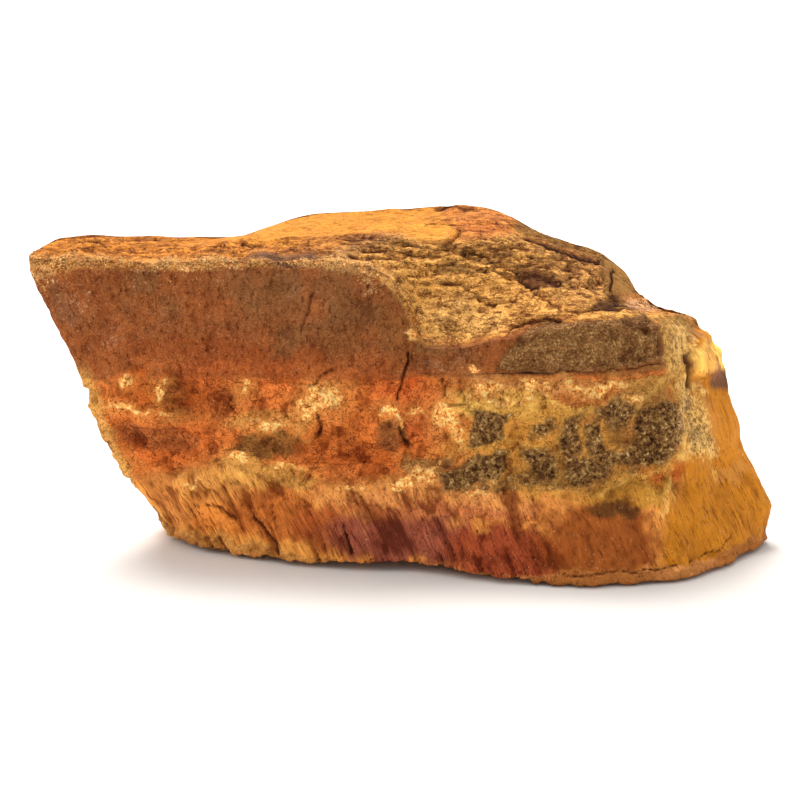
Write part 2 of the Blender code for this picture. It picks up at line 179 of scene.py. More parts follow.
def back_course(name, first, last):
    """Eleven stations back from the tip to the prow, between ground and crest by the course's level."""
    crest = np.array(CREST)
    if name in INWARD_AT_CREST:
        return crest + (nearest_on_spine(crest) - crest) * INWARD_AT_CREST[name]
    share = np.linspace(0, 1, len(CREST) + 2)[1:-1]
    level = first[2] + (last[2] - first[2]) * share
    level += LEVEL_WANDER * np.sin(2 * np.pi * share) * np.sin(np.pi * level / crest[:, 2])
    if name == "brow_foot":
        level = crest[:, 2] - BROW_DROP
    ground = np.c_[BACK_GROUND, np.zeros(len(crest))]
    line = ground + (crest - ground) * (level / crest[:, 2])[:, None]
    out = (line - BACK_MIDDLE) * (1, 1, 0)
    line += out / np.linalg.norm(out, axis=1)[:, None] * FACE_COURSES[name][3]
    line[:, 2] = level
    return line


def courses():
    """Every course as an array (course, station, 3): the foot on the ground, the face, the top, the crown."""
    rings = []
    for name, (level, stands_out, leans, _, _) in FACE_COURSES.items():
        face = face_course(level, stands_out, leans)
        rings.append(np.vstack([face, back_course(name, face[-1], face[0])]))
    for name, stations in TOP_COURSES.items():
        face = np.array(stations)
        rings.append(np.vstack([face, back_course(name, face[-1], face[0])]))
    rim = rings[0]
    inward = (np.array(FLAT_MIDDLE) - rim) * (1, 1, 0)
    inward /= np.linalg.norm(inward, axis=1)[:, None]
    foot = (rim + inward * (FOOT_INSET + FOOT_INSET_PER_HEIGHT * rim[:, 2:])) * (1, 1, 0)
    crown = rings[-1] + (nearest_on_spine(rings[-1]) - rings[-1]) * CROWN_SHARE
    return np.array([foot, *rings, crown])


def round_the_stone(rings):
    """Closed cubic Hermite curves through the stations: (course, column, 3), and each column's station."""
    length = np.linalg.norm(np.roll(rings, -1, 1) - rings, axis=-1).mean(0)
    before = np.roll(length, 1)
    ahead = (np.roll(rings, -1, 1) - rings) / length[:, None]
    behind = (rings - np.roll(rings, 1, 1)) / before[:, None]
    heading = (ahead * before[:, None] + behind * length[:, None]) / (length + before)[:, None]
    runs = []
    stations = []
    for i in range(rings.shape[1]):
        j = (i + 1) % rings.shape[1]
        spacing = COLUMN_SPACING if i < len(GROUND) - 1 else BACK_COLUMN_SPACING
        t = np.arange(max(1, round(length[i] / spacing)))
        t = (t / len(t))[:, None]
        stations.append(i + t[:, 0])
        pull = (1 - TENSION) * length[i]
        runs.append(
            (2 * t**3 - 3 * t**2 + 1) * rings[:, None, i]
            + (t**3 - 2 * t**2 + t) * heading[:, None, i] * pull
            + (3 * t**2 - 2 * t**3) * rings[:, None, j]
            + (t**3 - t**2) * heading[:, None, j] * pull
        )
    return np.concatenate(runs, axis=1), np.concatenate(stations)


def up_the_stone(rings):
    """Straight rows between the courses: an array (row, column, 3), and each row's place between courses."""
    rows = []
    places = []
    for k, (low, high) in enumerate(zip(rings[:-1], rings[1:])):
        count = max(1, round(np.linalg.norm(high - low, axis=-1).mean() / ROW_SPACING))
        for t in np.arange(count) / count:
            rows.append(low + (high - low) * t)
            places.append(k + t)
    return np.array([*rows, rings[-1]]), np.array([*places, len(rings) - 1.0])


def outward(grid):
    """Unit normals of a grid that closes round its columns: across the columns times up the rows."""
    normal = np.cross(np.roll(grid, -1, 1) - np.roll(grid, 1, 1), np.gradient(grid, axis=0))
    return normal / np.maximum(np.linalg.norm(normal, axis=-1, keepdims=True), 1e-9)


COURSE = {name: k for k, name in enumerate(["foot", *FACE_COURSES, *TOP_COURSES, "crown"])}
curves, station = round_the_stone(courses())
skin, course = up_the_stone(curves)
normals = outward(skin)
course = np.repeat(course[:, None], skin.shape[1], 1)
station = np.repeat(station[None, :], skin.shape[0], 0)
x, y, z = np.moveaxis(skin, -1, 0)

# ------------------------------------------------------------------------------------------------------
# Where each layer and mineral shows. The layers follow the courses with a ragged edge. Crusts, blocks,
# veins, pockets, stains and cracks are each at their place on the face or on the top.
# ------------------------------------------------------------------------------------------------------


def linear(code):
    """An sRGB hex value such as "8A4B2A" as a linear colour."""
    parts = [int(code[i:i + 2], 16) / 255 for i in (0, 2, 4)]
    return (*[p / 12.92 if p <= 0.04045 else ((p + 0.055) / 1.055) ** 2.4 for p in parts], 1.0)


def hashed(cells, seed):
    """A repeatable number from 0 to 1 for each whole-numbered cell, by mixing its coordinates' bits."""
    mixed = np.zeros(cells.shape[:-1], np.uint32)
    for axis, prime in enumerate((0x9E3779B1, 0x85EBCA77, 0xC2B2AE3D)):
        mixed ^= cells[..., axis].astype(np.int64).astype(np.uint32) * np.uint32(prime)
        mixed = (mixed ^ (mixed >> np.uint32(15))) * np.uint32(0x2C1B3C6D)
    mixed ^= np.uint32(seed * 7919 + 12345)
    mixed = (mixed ^ (mixed >> np.uint32(13))) * np.uint32(0x297A2D39)
    return (mixed ^ (mixed >> np.uint32(16))).astype(np.float64) / 2.0**32


def soft_noise(points, seed):
    """Smooth noise from -1 to 1: hashed corner values of a unit lattice, blended with an eased weight."""
    base = np.floor(points)
    part = points - base
    ease = part**3 * (part * (part * 6 - 15) + 10)
    total = np.zeros(points.shape[:-1])
    for corner in np.ndindex(2, 2, 2):
        weight = np.prod(np.where(corner, ease, 1 - ease), axis=-1)
        total += weight * hashed(base + corner, seed)
    return total * 2 - 1


def facets(points, seed, crispness=9.0):
    """Chipped facets from about -1 to 1: a tilted plane round a seat in each cell, the nearest showing."""
    base = np.floor(points)
    total = np.zeros(points.shape[:-1])
    height = np.zeros(points.shape[:-1])
    for offset in np.ndindex(3, 3, 3):
        cell = base + offset - 1
        seat = np.stack([hashed(cell, seed + k) for k in range(3)], -1)
        tilt = np.stack([hashed(cell, seed + 3 + k) for k in range(3)], -1) * 2 - 1
        away = points - cell - seat
        nearness = np.exp(-crispness * np.sum(away**2, -1))
        height += nearness * (0.6 * (hashed(cell, seed + 6) * 2 - 1) + np.sum(tilt * away, -1))
        total += nearness
    return height / np.maximum(total, 1e-12)


def fuzzy(u, v, table):
    """The strongest of several patches (u, v, half width, half height, strength), half gone at the edge."""
    best = np.zeros(u.shape)
    for at_u, at_v, half_u, half_v, strength in table:
        away = ((u - at_u) / half_u) ** 2 + ((v - at_v) / half_v) ** 2
        best = np.maximum(best, strength * np.exp(-0.69 * away))
    return best


BLOCK_CORNER = 3.5  # 2 would be an ellipse, and more is squarer


def blocks(u, v, table, edge=0.5):
    """The strongest of several round-cornered blocks (u, v, half width, half height, slant, strength)."""
    best = np.zeros(u.shape)
    for at_u, at_v, half_u, half_v, slant, strength in table:
        across = np.abs((u - at_u - slant * (v - at_v)) / half_u)
        up = np.abs((v - at_v) / half_v)
        away = (across**BLOCK_CORNER + up**BLOCK_CORNER) ** (1 / BLOCK_CORNER)
        inside = (1 - away) * min(half_u, half_v)
        best = np.maximum(best, strength * eased(inside / edge * 0.5 + 0.5, 1.0))
    return best


def outlined(u, v, points, edge):
    """1 inside an outline and 0 outside, eased over edge: an odd count of crossed sides means inside."""
    inside = np.zeros(u.shape, bool)
    for (u0, v0), (u1, v1) in zip(points, [*points[1:], points[0]]):
        between_ends = (v0 > v) != (v1 > v)
        rise = v1 - v0 if v1 != v0 else 1.0
        inside ^= between_ends & (u < u0 + (v - v0) / rise * (u1 - u0))
    away = near_line(u, v, [*points, points[0]])
    return eased(np.where(inside, away, -away) / edge * 0.5 + 0.5, 1.0)


def near_line(u, v, points):
    """Distance from each place (u, v) to a line of straight runs through the points."""
    nearest = np.full(u.shape, 1e9)
    for (u0, v0), (u1, v1) in zip(points[:-1], points[1:]):
        du, dv = u1 - u0, v1 - v0
        t = np.clip(((u - u0) * du + (v - v0) * dv) / (du * du + dv * dv), 0, 1)
        nearest = np.minimum(nearest, np.hypot(u - u0 - t * du, v - v0 - t * dv))
    return nearest


def lines(u, v, table):
    """The strongest of several thin lines (half width, strength, points): exp(-(distance / width)^2)."""
    best = np.zeros(u.shape)
    for half_width, strength, points in table:
        best = np.maximum(best, strength * np.exp(-((near_line(u, v, points) / half_width) ** 2)))
    return best


# Noises with features of 7, 2.6, 1.1 and 0.7 mm, which fray the edges of all that follows.
ragged_wide = soft_noise(skin / 7.0, 75)
ragged = soft_noise(skin / 2.6, 71) + 0.5 * soft_noise(skin / 1.1, 72)
ragged_too = soft_noise(skin / 2.6, 73) + 0.5 * soft_noise(skin / 1.1, 74)
fine_ragged = soft_noise(skin / 0.7, 70)
EDGE_WANDER = 0.9  # how far the edges of the patches wander
u = x + EDGE_WANDER * ragged
v = z + EDGE_WANDER * ragged_too
w = y + 1.4 * EDGE_WANDER * ragged_too
front = eased(3.0 - y, 2.5)
behind = 1 - front

# The layers, by their place between the courses: upper band (host), middle, seam (fibre), rim and top.
place = course + 0.20 * ragged_wide + 0.13 * ragged + 0.10 * fine_ragged
top = eased(place - COURSE["brow_foot"] - 0.1, 0.5)
rim_height = np.interp(x, (-45, -28, -16, -8, 18, 26, 45, 60), (3.0, 3.4, 2.6, 0.8, 0.8, 2.0, 1.9, 2.4))
rim = 1 - eased(z - rim_height * (1 + 0.4 * ragged + 0.2 * fine_ragged), 0.35)
fibre = 1 - eased(place - COURSE["fibre_top"] + 0.2, 0.8)
middle = (1 - fibre) * (1 - eased(place - COURSE["ledge_foot"] - 0.1, 0.9)) * (1 - top)
host = (1 - fibre) * (1 - middle) * (1 - top)
# The golden end starts about 42 mm right of the middle, and further left the lower it is.
golden = eased(x - 42.0 - 1.2 * ragged - 1.5 * ragged_wide + 0.35 * np.clip(13 - z, 0, 13), 3.5) * (1 - top)

CREAM_PATCHES = [  # pale quartz and clay crusts: (x, z), half width, half height, strength
    (-12.2, 27.6, 1.9, 2.2, 1.0), (-14.2, 24.7, 1.9, 1.4, 1.0), (-10.2, 26.8, 1.5, 2.2, 0.8),
    (-24.6, 27.4, 0.9, 1.5, 0.7), (-43.3, 27.6, 1.4, 1.8, 0.7), (-37.9, 26.0, 0.9, 2.6, 0.72),
    (-43.0, 22.6, 3.8, 0.6, 0.72), (-37.2, 22.2, 2.0, 0.6, 0.68), (7.2, 24.6, 2.0, 2.5, 0.92),
    (8.6, 21.5, 1.5, 1.9, 0.85), (2.8, 24.5, 1.6, 0.7, 0.8), (-25.0, 15.6, 2.5, 1.1, 1.0),
    (14.0, 29.2, 2.5, 1.5, 0.68), (20.1, 29.7, 1.8, 1.5, 0.82), (23.0, 29.6, 1.2, 1.4, 0.75),
    (31.2, 29.6, 4.8, 1.0, 0.72), (27.4, 30.2, 1.8, 0.7, 0.66), (3.2, 37.4, 2.2, 1.2, 0.9),
    (11.4, 31.9, 1.2, 0.8, 0.8), (-20.8, 21.9, 4.8, 1.0, 0.58), (-7.5, 12.9, 2.8, 0.5, 0.64),
    (-18.0, 15.0, 4.2, 0.6, 0.56), (-2.0, 25.0, 1.3, 0.8, 0.8), (36.5, 27.6, 3.0, 1.0, 0.6),
    (3.5, 15.3, 1.7, 1.5, 0.84), (0.6, 13.4, 2.2, 0.5, 0.85), (12.0, 12.6, 3.2, 0.5, 0.56),
    (17.0, 27.0, 5.0, 0.8, 0.55), (-33.0, 12.2, 4.0, 0.5, 0.55),
]
CREAM_LINES = [  # crusts along old cracks: half width, strength, points (x, z)
    (0.35, 0.8, [(-3.4, 23.9), (-1.9, 25.2), (-0.3, 23.4), (0.1, 22.4)]),
    (0.5, 0.75, [(5.4, 17.4), (4.6, 16.2), (3.1, 14.9), (0.6, 13.8), (-1.6, 13.3)]),
]
YELLOW_VEINS = [  # thin yellow veins round the ironstone and down the end strip
    (0.38, 1.0, [(44.4, 31.0), (43.6, 27.0), (44.0, 24.5), (43.4, 20.5), (42.4, 16.5), (41.9, 12.3),
        (41.2, 9.5)]),
    (0.34, 0.9, [(42.4, 31.0), (40.6, 29.6), (38.6, 27.2), (36.8, 26.0), (34.0, 27.6), (31.0, 27.2)]),
    (0.30, 0.9, [(45.0, 29.5), (45.6, 25.5), (46.3, 21.5), (47.6, 18.6), (49.7, 15.4), (51.4, 13.0)]),
    (0.34, 0.8, [(29.6, 27.4), (27.0, 26.0), (25.4, 24.2), (25.2, 20.0), (24.4, 17.6), (24.9, 13.2)]),
    (0.30, 0.8, [(6.5, 17.6), (9.0, 19.2), (12.0, 20.2), (15.0, 20.0), (18.0, 20.8), (21.0, 19.9)]),
    (0.34, 0.9, [(41.7, 17.0), (39.0, 15.6), (36.4, 15.2), (33.4, 14.8), (31.4, 13.0)]),
    (0.28, 0.7, [(41.2, 9.5), (40.0, 11.5), (38.6, 14.6)]),
    (0.26, 0.7, [(46.4, 34.5), (45.2, 31.6), (46.0, 28.4)]),
]
DUST_PATCHES = [  # thin pale dust over the upper band, and the crumbly edge above it
    (-51.5, 40.0, 3.4, 4.0, 0.36), (-46.0, 34.8, 3.0, 3.6, 0.36), (-38.0, 38.0, 6.0, 5.0, 0.24),
    (-27.0, 38.0, 6.0, 5.0, 0.20), (-14.0, 40.0, 6.0, 5.0, 0.20), (-4.0, 36.0, 4.0, 5.0, 0.22),
    (-6.0, 44.0, 3.0, 1.5, 0.34), (6.0, 31.8, 5.0, 0.9, 0.40), (-16.5, 43.5, 2.4, 2.4, 0.36),
    (26.0, 33.0, 8.0, 1.2, 0.36), (9.5, 34.0, 2.0, 2.0, 0.36),
]
# From here on some marks are outlined as the stone shows from its front: (across, up) from the middle.
IRON_BLOCKS = [  # dark ironstone: strength, outline
    (1.3, [(12.2, -3.1), (17.7, -3.4), (17.4, -7.6), (10.9, -8.4), (12.3, -5.4)]),
    (1.3, [(6.4, -13.6), (10.9, -10.5), (12.9, -9.6), (17.7, -9.2), (17.2, -12.3), (15.0, -14.0),
        (10.9, -15.2), (7.2, -15.6)]),
    (0.85, [(21.2, -5.2), (25.5, -3.7), (25.9, -6.4), (22.8, -7.6), (21.2, -7.9)]),
    (1.3, [(19.8, -9.2), (22.8, -9.0), (25.2, -10.5), (25.2, -12.9), (23.7, -14.1), (21.0, -12.3)]),
    (1.2, [(26.7, -4.0), (29.2, -3.2), (29.4, -6.0), (29.6, -9.3), (26.9, -11.1), (26.4, -7.6)]),
    (1.1, [(26.7, -9.9), (32.8, -9.3), (36.0, -10.5), (33.0, -13.4), (28.7, -14.9), (26.6, -14.0)]),
    (1.3, [(30.4, -5.4), (32.9, -4.5), (33.2, -6.4), (33.1, -9.6), (31.3, -9.9), (30.4, -8.1)]),
    (1.15, [(31.8, -1.9), (34.6, -0.8), (38.6, -0.8), (38.2, -3.4), (37.0, -5.2), (34.6, -6.1),
        (33.6, -4.3), (31.8, -4.7)]),
    (1.3, [(38.6, -2.9), (44.3, -1.2), (44.8, -4.9), (43.4, -9.3), (41.7, -10.8), (37.6, -11.1),
        (32.8, -11.4), (33.2, -9.9), (37.6, -9.3), (38.4, -6.4)]),
    (0.62, [(8.0, -15.2), (19.0, -12.5), (34.0, -13.2), (41.0, -11.0), (38.0, -12.8), (30.0, -15.6),
        (12.0, -16.6)]),
    (0.75, [(46.0, 1.6), (47.6, 1.9), (48.2, -0.2), (47.6, -3.6), (46.2, -2.6)]),
    (0.55, [(46.0, -2.6), (47.8, -3.6), (50.0, -8.0), (46.6, -8.4)]),
]
IRON_VEINS = [  # amber veins through the ironstone: half width, strength, points
    (0.3, 0.9, [(10.4, -8.6), (13.0, -8.6), (17.0, -8.2), (20.4, -8.4), (25.0, -8.6)]),
    (0.28, 0.9, [(29.8, -3.2), (29.8, -6.5), (30.0, -9.5), (29.0, -11.0)]),
    (0.3, 0.9, [(33.2, -4.0), (33.4, -6.8), (34.2, -8.6), (36.2, -9.2)]),
    (0.25, 0.6, [(38.2, -3.0), (38.0, -6.0), (39.4, -8.6), (40.6, -7.4)]),
    (0.25, 0.5, [(27.0, -11.0), (29.6, -10.2), (31.0, -10.4), (33.6, -11.4)]),
    (0.22, 0.5, [(36.0, -0.8), (36.6, -2.6), (35.6, -4.0)]),
]
PAINT = [  # stains outlined from the front: colour, strength, how soft the edge, outline
    ("DC8E3A", 0.95, 1.2, [(-62.0, 30.0), (-28.0, 30.0), (-23.5, 24.6), (-23.0, 22.6), (-62.0, 20.5)]),
    ("D89038", 1.0, 0.8, [(-28.5, 25.8), (-20.0, 29.8), (-10.0, 34.0), (6.5, 34.0), (6.5, 30.8),
        (8.1, 28.9), (8.5, 27.7), (9.7, 26.6), (8.7, 25.2), (6.1, 24.8), (3.2, 25.3), (0.0, 25.8),
        (-6.0, 26.0), (-10.6, 25.1), (-15.2, 24.7), (-23.5, 24.6)]),
    ("DE8E44", 1.0, 0.9, [(6.5, 34.0), (14.0, 34.0), (19.0, 30.0), (19.4, 26.9), (16.8, 25.6), (14.2, 24.8),
        (10.6, 25.0), (9.7, 26.3), (8.5, 27.9), (6.6, 30.6)]),
    ("D07C3A", 0.7, 0.9, [(10.0, 28.2), (16.0, 28.6), (17.0, 26.4), (12.4, 25.4), (10.2, 26.2)]),
    ("C4955A", 0.8, 1.0, [(-13.4, 22.6), (-6.9, 24.4), (0.0, 25.6), (0.0, 23.7), (-2.8, 20.4), (-7.0, 19.2),
        (-12.0, 19.8)]),
    ("E0A656", 1.0, 0.9, [(0.0, 25.5), (9.7, 24.7), (19.4, 26.6), (21.0, 25.3), (31.6, 21.8), (32.6, 18.5),
        (37.1, 13.9), (28.1, 13.7), (20.6, 17.6), (15.5, 21.1), (9.0, 23.1), (0.0, 23.7)]),
    ("F8B860", 1.0, 0.8, [(0.0, 23.7), (9.0, 23.1), (15.5, 21.1), (20.6, 17.6), (26.0, 13.8), (43.0, 13.4),
        (44.0, 11.5), (36.0, 12.0), (22.0, 12.4), (18.0, 10.2), (12.0, 9.4), (4.0, 9.6), (1.5, 14.0),
        (-3.0, 19.0), (-8.0, 22.3), (-4.0, 24.0)]),
    ("FFC670", 1.0, 1.6, [(3.0, 14.0), (10.0, 15.4), (17.0, 13.4), (16.0, 10.0), (6.0, 9.6)]),
    ("8E6A38", 0.8, 0.8, [(5.3, 20.9), (9.4, 20.6), (12.8, 19.4), (9.0, 18.9), (5.8, 19.2)]),
    ("AC783E", 0.6, 1.2, [(9.0, 24.2), (15.0, 24.4), (17.5, 22.6), (15.0, 21.4), (9.0, 23.2)]),
    ("E0A45C", 0.7, 1.2, [(22.0, 21.5), (27.0, 23.0), (32.5, 21.0), (34.0, 16.0), (29.0, 15.0),
        (25.8, 17.4), (25.8, 19.2)]),
    ("9E7438", 0.9, 0.6, [(18.1, 28.3), (24.0, 29.5), (33.0, 26.5), (31.9, 22.3), (30.0, 22.9),
        (21.0, 25.8), (19.0, 26.6)]),
    ("A87A3E", 1.0, 0.5, [(31.5, 24.0), (33.0, 26.5), (41.0, 22.0), (41.0, 16.8), (38.5, 16.6),
        (35.2, 15.6), (33.2, 16.9), (32.3, 20.2)]),
    ("8E6032", 0.7, 0.6, [(33.8, 20.6), (34.8, 20.4), (34.9, 17.0), (33.9, 17.4)]),
    ("E0AC78", 1.0, 0.5, [(35.8, 15.4), (40.0, 15.8), (44.0, 13.8), (37.4, 13.7)]),
    ("70402A", 0.9, 0.5, [(19.0, 20.2), (21.9, 20.5), (25.8, 18.9), (25.5, 17.6), (22.6, 17.3),
        (20.6, 17.9), (19.4, 19.2)]),
    ("4A2808", 0.95, 0.6, [(30.4, 13.7), (32.3, 14.9), (35.0, 15.7), (38.0, 13.7), (34.0, 13.3)]),
    ("C07430", 0.8, 0.6, [(25.4, 12.9), (29.2, 13.1), (29.0, 12.4), (25.6, 12.2)]),
    ("6C5044", 0.9, 0.7, [(-25.4, 22.4), (-21.7, 23.4), (-17.0, 23.0), (-13.8, 23.3), (-12.9, 20.8),
        (-18.9, 20.4), (-21.7, 21.6)]),
    ("A8744A", 0.6, 0.7, [(-11.5, 25.6), (-4.0, 25.9), (0.5, 24.9), (-2.6, 24.2), (-8.4, 24.8)]),
    ("C89A54", 0.9, 0.8, [(42.4, 11.8), (45.2, 13.1), (47.9, 12.2), (46.5, 8.1), (46.1, 4.4), (43.3, 3.5)]),
    ("F4BE54", 1.0, 0.8, [(46.5, 6.2), (48.8, 8.8), (54.0, 6.7), (54.0, 4.4), (49.8, 4.4), (47.5, 3.5)]),
    ("64402A", 0.95, 0.6, [(49.3, 3.9), (54.0, 4.8), (54.0, 0.7), (50.2, 1.4)]),
    ("88643A", 0.9, 0.8, [(45.4, 2.1), (47.9, 2.5), (48.8, -4.4), (50.7, -9.0), (46.1, -9.0),
        (45.4, -2.1)]),
    ("7E5C38", 0.55, 5.0, [(-28.0, 20.5), (-12.0, 20.0), (-10.5, 14.0), (-20.0, 12.5), (-28.0, 14.5)]),
    ("C4602A", 0.45, 3.0, [(-52.0, 4.6), (1.0, 5.4), (1.0, 3.2), (-50.0, 2.6)]),
    ("9A4A1C", 0.6, 2.4, [(-37.4, 3.8), (-30.0, 3.6), (-27.0, 1.0), (-29.0, -4.0), (-37.0, -4.6)]),
    ("7E2800", 0.9, 1.3, [(-37.9, 3.4), (-35.4, 3.6), (-34.0, 0.4), (-33.4, -3.6), (-36.0, -4.6),
        (-38.0, -1.6)]),
    ("8E6436", 0.6, 2.0, [(26.5, -3.0), (36.0, 0.5), (45.0, 0.0), (45.0, -9.5), (40.0, -12.0),
        (30.0, -15.5), (19.5, -14.5), (19.5, -9.0), (25.0, -8.5)]),
    ("C87C22", 0.7, 2.2, [(49.8, -2.6), (53.6, -3.0), (56.6, -10.4), (52.0, -10.8)]),
]
WASHES = [  # broad stains on the face: (x, z), half width, half height, slant, colour, strength
    (-30.0, 33.5, 22.0, 2.0, 0.0, "9C4E22", 0.6), (-6.0, 37.0, 7.0, 6.5, 0.0, "7E5029", 0.55),
    (5.5, 34.0, 6.0, 3.0, 0.0, "8A5028", 0.8), (-20.0, 31.0, 28.0, 0.9, 0.0, "B8602C", 0.6),
    (-2.0, 29.0, 14.0, 0.8, 0.0, "C06A34", 0.5), (-41.5, 26.3, 5.0, 3.2, 0.0, "C24E08", 0.9),
    (-40.0, 18.4, 7.5, 2.1, 0.0, "BE6A36", 0.95), (-26.0, 25.0, 4.5, 4.5, 0.0, "C05F2A", 0.5),
    (-20.5, 22.4, 7.0, 1.7, 0.25, "D09A4C", 0.5), (-20.0, 18.8, 6.6, 2.2, 0.4, "6A4620", 0.85),
    (-8.0, 18.5, 8.0, 3.0, 0.0, "CC6A2C", 0.9), (-1.0, 21.0, 2.6, 2.4, 0.0, "7A4A2A", 0.75),
    (3.5, 22.3, 2.6, 2.0, 0.0, "D8602E", 0.8), (1.5, 27.0, 6.0, 2.6, 0.0, "E0682E", 0.8),
    (-44.5, 13.5, 3.5, 3.0, 0.0, "C87634", 0.6), (19.0, 26.2, 12.0, 2.4, 0.0, "FFC860", 1.0),
    (25.0, 19.0, 17.0, 7.0, 0.0, "E8A648", 0.9), (38.0, 26.6, 5.0, 2.0, 0.0, "A87C3C", 0.8),
    (22.0, 30.0, 13.5, 1.6, 0.0, "D09A5C", 0.6), (26.5, 28.2, 2.2, 1.3, 0.0, "C4622C", 0.8),
    (13.0, 28.2, 3.2, 1.4, 0.0, "C87838", 0.7), (36.5, 13.2, 7.5, 1.9, 0.0, "B8822E", 0.9),
    (36.0, 32.0, 5.0, 1.0, 0.0, "C08846", 0.7), (38.5, 29.2, 4.0, 1.6, 0.0, "B88A44", 0.9),
    (4.0, 16.2, 4.0, 1.6, 0.0, "8A6A44", 0.85), (-22.0, 13.6, 8.5, 1.7, 0.1, "E8A850", 0.9),
    (-31.0, 12.5, 5.0, 1.4, -0.3, "D08C44", 0.7), (-28.5, 5.4, 5.0, 3.2, 0.0, "FC9A40", 0.7),
    (-18.5, 8.0, 8.5, 4.2, 0.0, "B86428", 0.9), (-24.0, 2.8, 14.0, 1.5, 0.0, "EAA048", 0.8),
    (-12.5, 6.5, 4.5, 3.5, 0.0, "B05A2A", 0.8), (6.0, 11.8, 19.0, 1.8, 0.0, "D4864A", 0.9),
    (1.0, 5.6, 12.5, 4.6, 0.0, "98503A", 1.0), (16.5, 4.4, 9.5, 4.8, 0.0, "9A4626", 1.0),
    (4.0, 10.2, 16.0, 0.9, 0.0, "B8623E", 0.6), (31.0, 6.2, 10.4, 6.0, 0.0, "884214", 0.9),
    (17.0, 0.8, 9.0, 0.8, 0.0, "C87A44", 0.7), (38.0, 1.0, 13.0, 1.2, 0.0, "D8904C", 0.8),
    (53.2, 12.4, 3.0, 1.0, -0.3, "B87830", 0.7), (33.0, 11.0, 3.8, 1.5, 0.0, "623A16", 1.0),
    (49.6, 21.0, 1.4, 5.0, -0.3, "B87C3A", 0.7), (-54.5, 41.0, 1.4, 5.0, -0.45, "8A5A3C", 0.6),
]
FACE_CRACKS = [  # half width, strength, points (x, z)
    (0.2, 0.6, [(-13.6, 43.1), (-14.4, 40.4), (-15.0, 37.3)]),
    (0.2, 0.8, [(1.3, 34.4), (0.9, 31.2), (0.0, 28.3), (-0.6, 26.9)]),
    (0.2, 0.7, [(6.7, 29.8), (7.2, 27.4)]),
    (0.22, 0.7, [(9.7, 28.2), (10.5, 26.4), (8.6, 26.4)]),
    (0.2, 0.7, [(-10.2, 31.5), (-12.5, 30.7), (-13.5, 28.8)]),
    (0.16, 0.7, [(-26.6, 26.3), (-27.2, 25.1), (-25.9, 23.8)]),
    (0.12, 0.5, [(10.9, 30.8), (15.6, 31.2), (20.2, 32.0), (24.9, 32.1), (31.1, 32.2), (37.3, 32.8),
        (40.9, 32.9)]),
    (0.26, 0.8, [(-0.3, 22.8), (0.3, 21.1), (1.3, 19.4)]),
    (0.3, 0.9, [(-12.6, 23.2), (-12.3, 21.9), (-13.2, 20.5)]),
    (0.22, 0.9, [(-23.4, 7.3), (-21.9, 5.8), (-20.3, 4.3), (-19.4, 1.7)]),
    (0.2, 0.8, [(-31.0, 8.6), (-28.6, 8.2), (-26.7, 6.5)]),
    (0.22, 0.9, [(-9.4, 7.4), (-8.2, 5.5), (-7.9, 2.9)]),
    (0.1, 0.7, [(25.6, 1.9), (28.0, 1.5), (31.2, 1.9), (34.0, 2.3), (37.0, 2.0), (40.0, 2.0), (43.2, 2.5)]),
    (0.1, 0.6, [(45.4, 2.3), (48.2, 3.0), (51.0, 3.3), (53.4, 4.0)]),
    (0.35, 0.9, [(45.4, 32.4), (45.9, 30.6), (46.4, 27.6)]),
]
TOP_CRACKS = [  # undercuts of the top, cut in and darkened as painted shade, outlined from the front: half width, strength, points
    (0.36, 1.0, [(20.6, 25.4), (23.2, 24.3), (27.4, 22.9), (29.7, 22.3), (31.8, 21.8)]),
    (0.22, 0.9, [(2.8, 24.0), (5.0, 23.4), (8.6, 23.2), (12.0, 22.4), (14.8, 21.4), (16.2, 20.6)]),
    (0.18, 0.8, [(0.0, 24.9), (2.6, 24.4), (4.2, 24.0)]),
    (0.16, 0.8, [(4.4, 27.4), (6.8, 27.6), (8.2, 27.8), (8.4, 28.7)]),
    (0.16, 0.8, [(3.0, 25.2), (6.3, 24.8), (8.6, 25.1), (9.7, 26.4), (9.4, 27.0)]),
    (0.2, 0.8, [(6.6, 30.5), (8.4, 30.8), (10.4, 30.3), (11.6, 30.6)]),
    (0.18, 0.8, [(5.8, 17.9), (7.4, 17.4), (9.4, 17.3), (10.4, 16.6), (12.6, 15.5), (15.0, 15.1),
        (17.4, 15.2), (20.0, 15.9)]),
    (0.14, 0.7, [(0.0, 18.6), (2.4, 18.9), (4.6, 19.8), (8.4, 19.2), (11.4, 19.0), (13.8, 20.1)]),
    (0.22, 0.9, [(19.0, 20.2), (19.6, 18.9), (20.8, 17.9), (22.6, 17.4)]),
    (0.18, 0.8, [(25.6, 18.6), (27.0, 18.9), (28.2, 19.6)]),
    (0.14, 0.6, [(17.6, 21.0), (19.6, 19.0), (21.0, 17.5), (24.6, 15.0), (26.6, 13.9)]),
    (0.14, 0.7, [(27.2, 13.7), (31.6, 13.6), (37.6, 13.5)]),
    (0.2, 0.8, [(-43.8, 25.5), (-41.4, 25.2), (-38.6, 25.4)]),
    (0.2, 0.8, [(-25.4, 24.8), (-23.8, 24.4), (-22.6, 24.7)]),
    (0.2, 0.9, [(-10.4, 25.6), (-8.2, 25.9), (-5.0, 25.4), (-2.0, 25.2), (0.8, 24.6)]),
    (0.2, 0.8, [(-8.2, 22.4), (-5.4, 21.6), (-2.4, 22.0), (1.2, 21.4)]),
    (0.16, 0.7, [(-6.0, 23.4), (-2.4, 23.1), (0.8, 23.4)]),
    (0.14, 0.6, [(-34.0, 24.2), (-30.4, 23.6), (-27.6, 23.9)]),
    (0.14, 0.6, [(-53.0, 24.6), (-50.0, 24.9), (-47.4, 24.4)]),
    (0.16, 0.8, [(34.2, 20.4), (34.4, 18.4), (34.3, 17.2)]),
    (0.2, 0.8, [(18.0, 10.6), (20.6, 11.6), (23.6, 12.3), (26.4, 12.2)]),
]

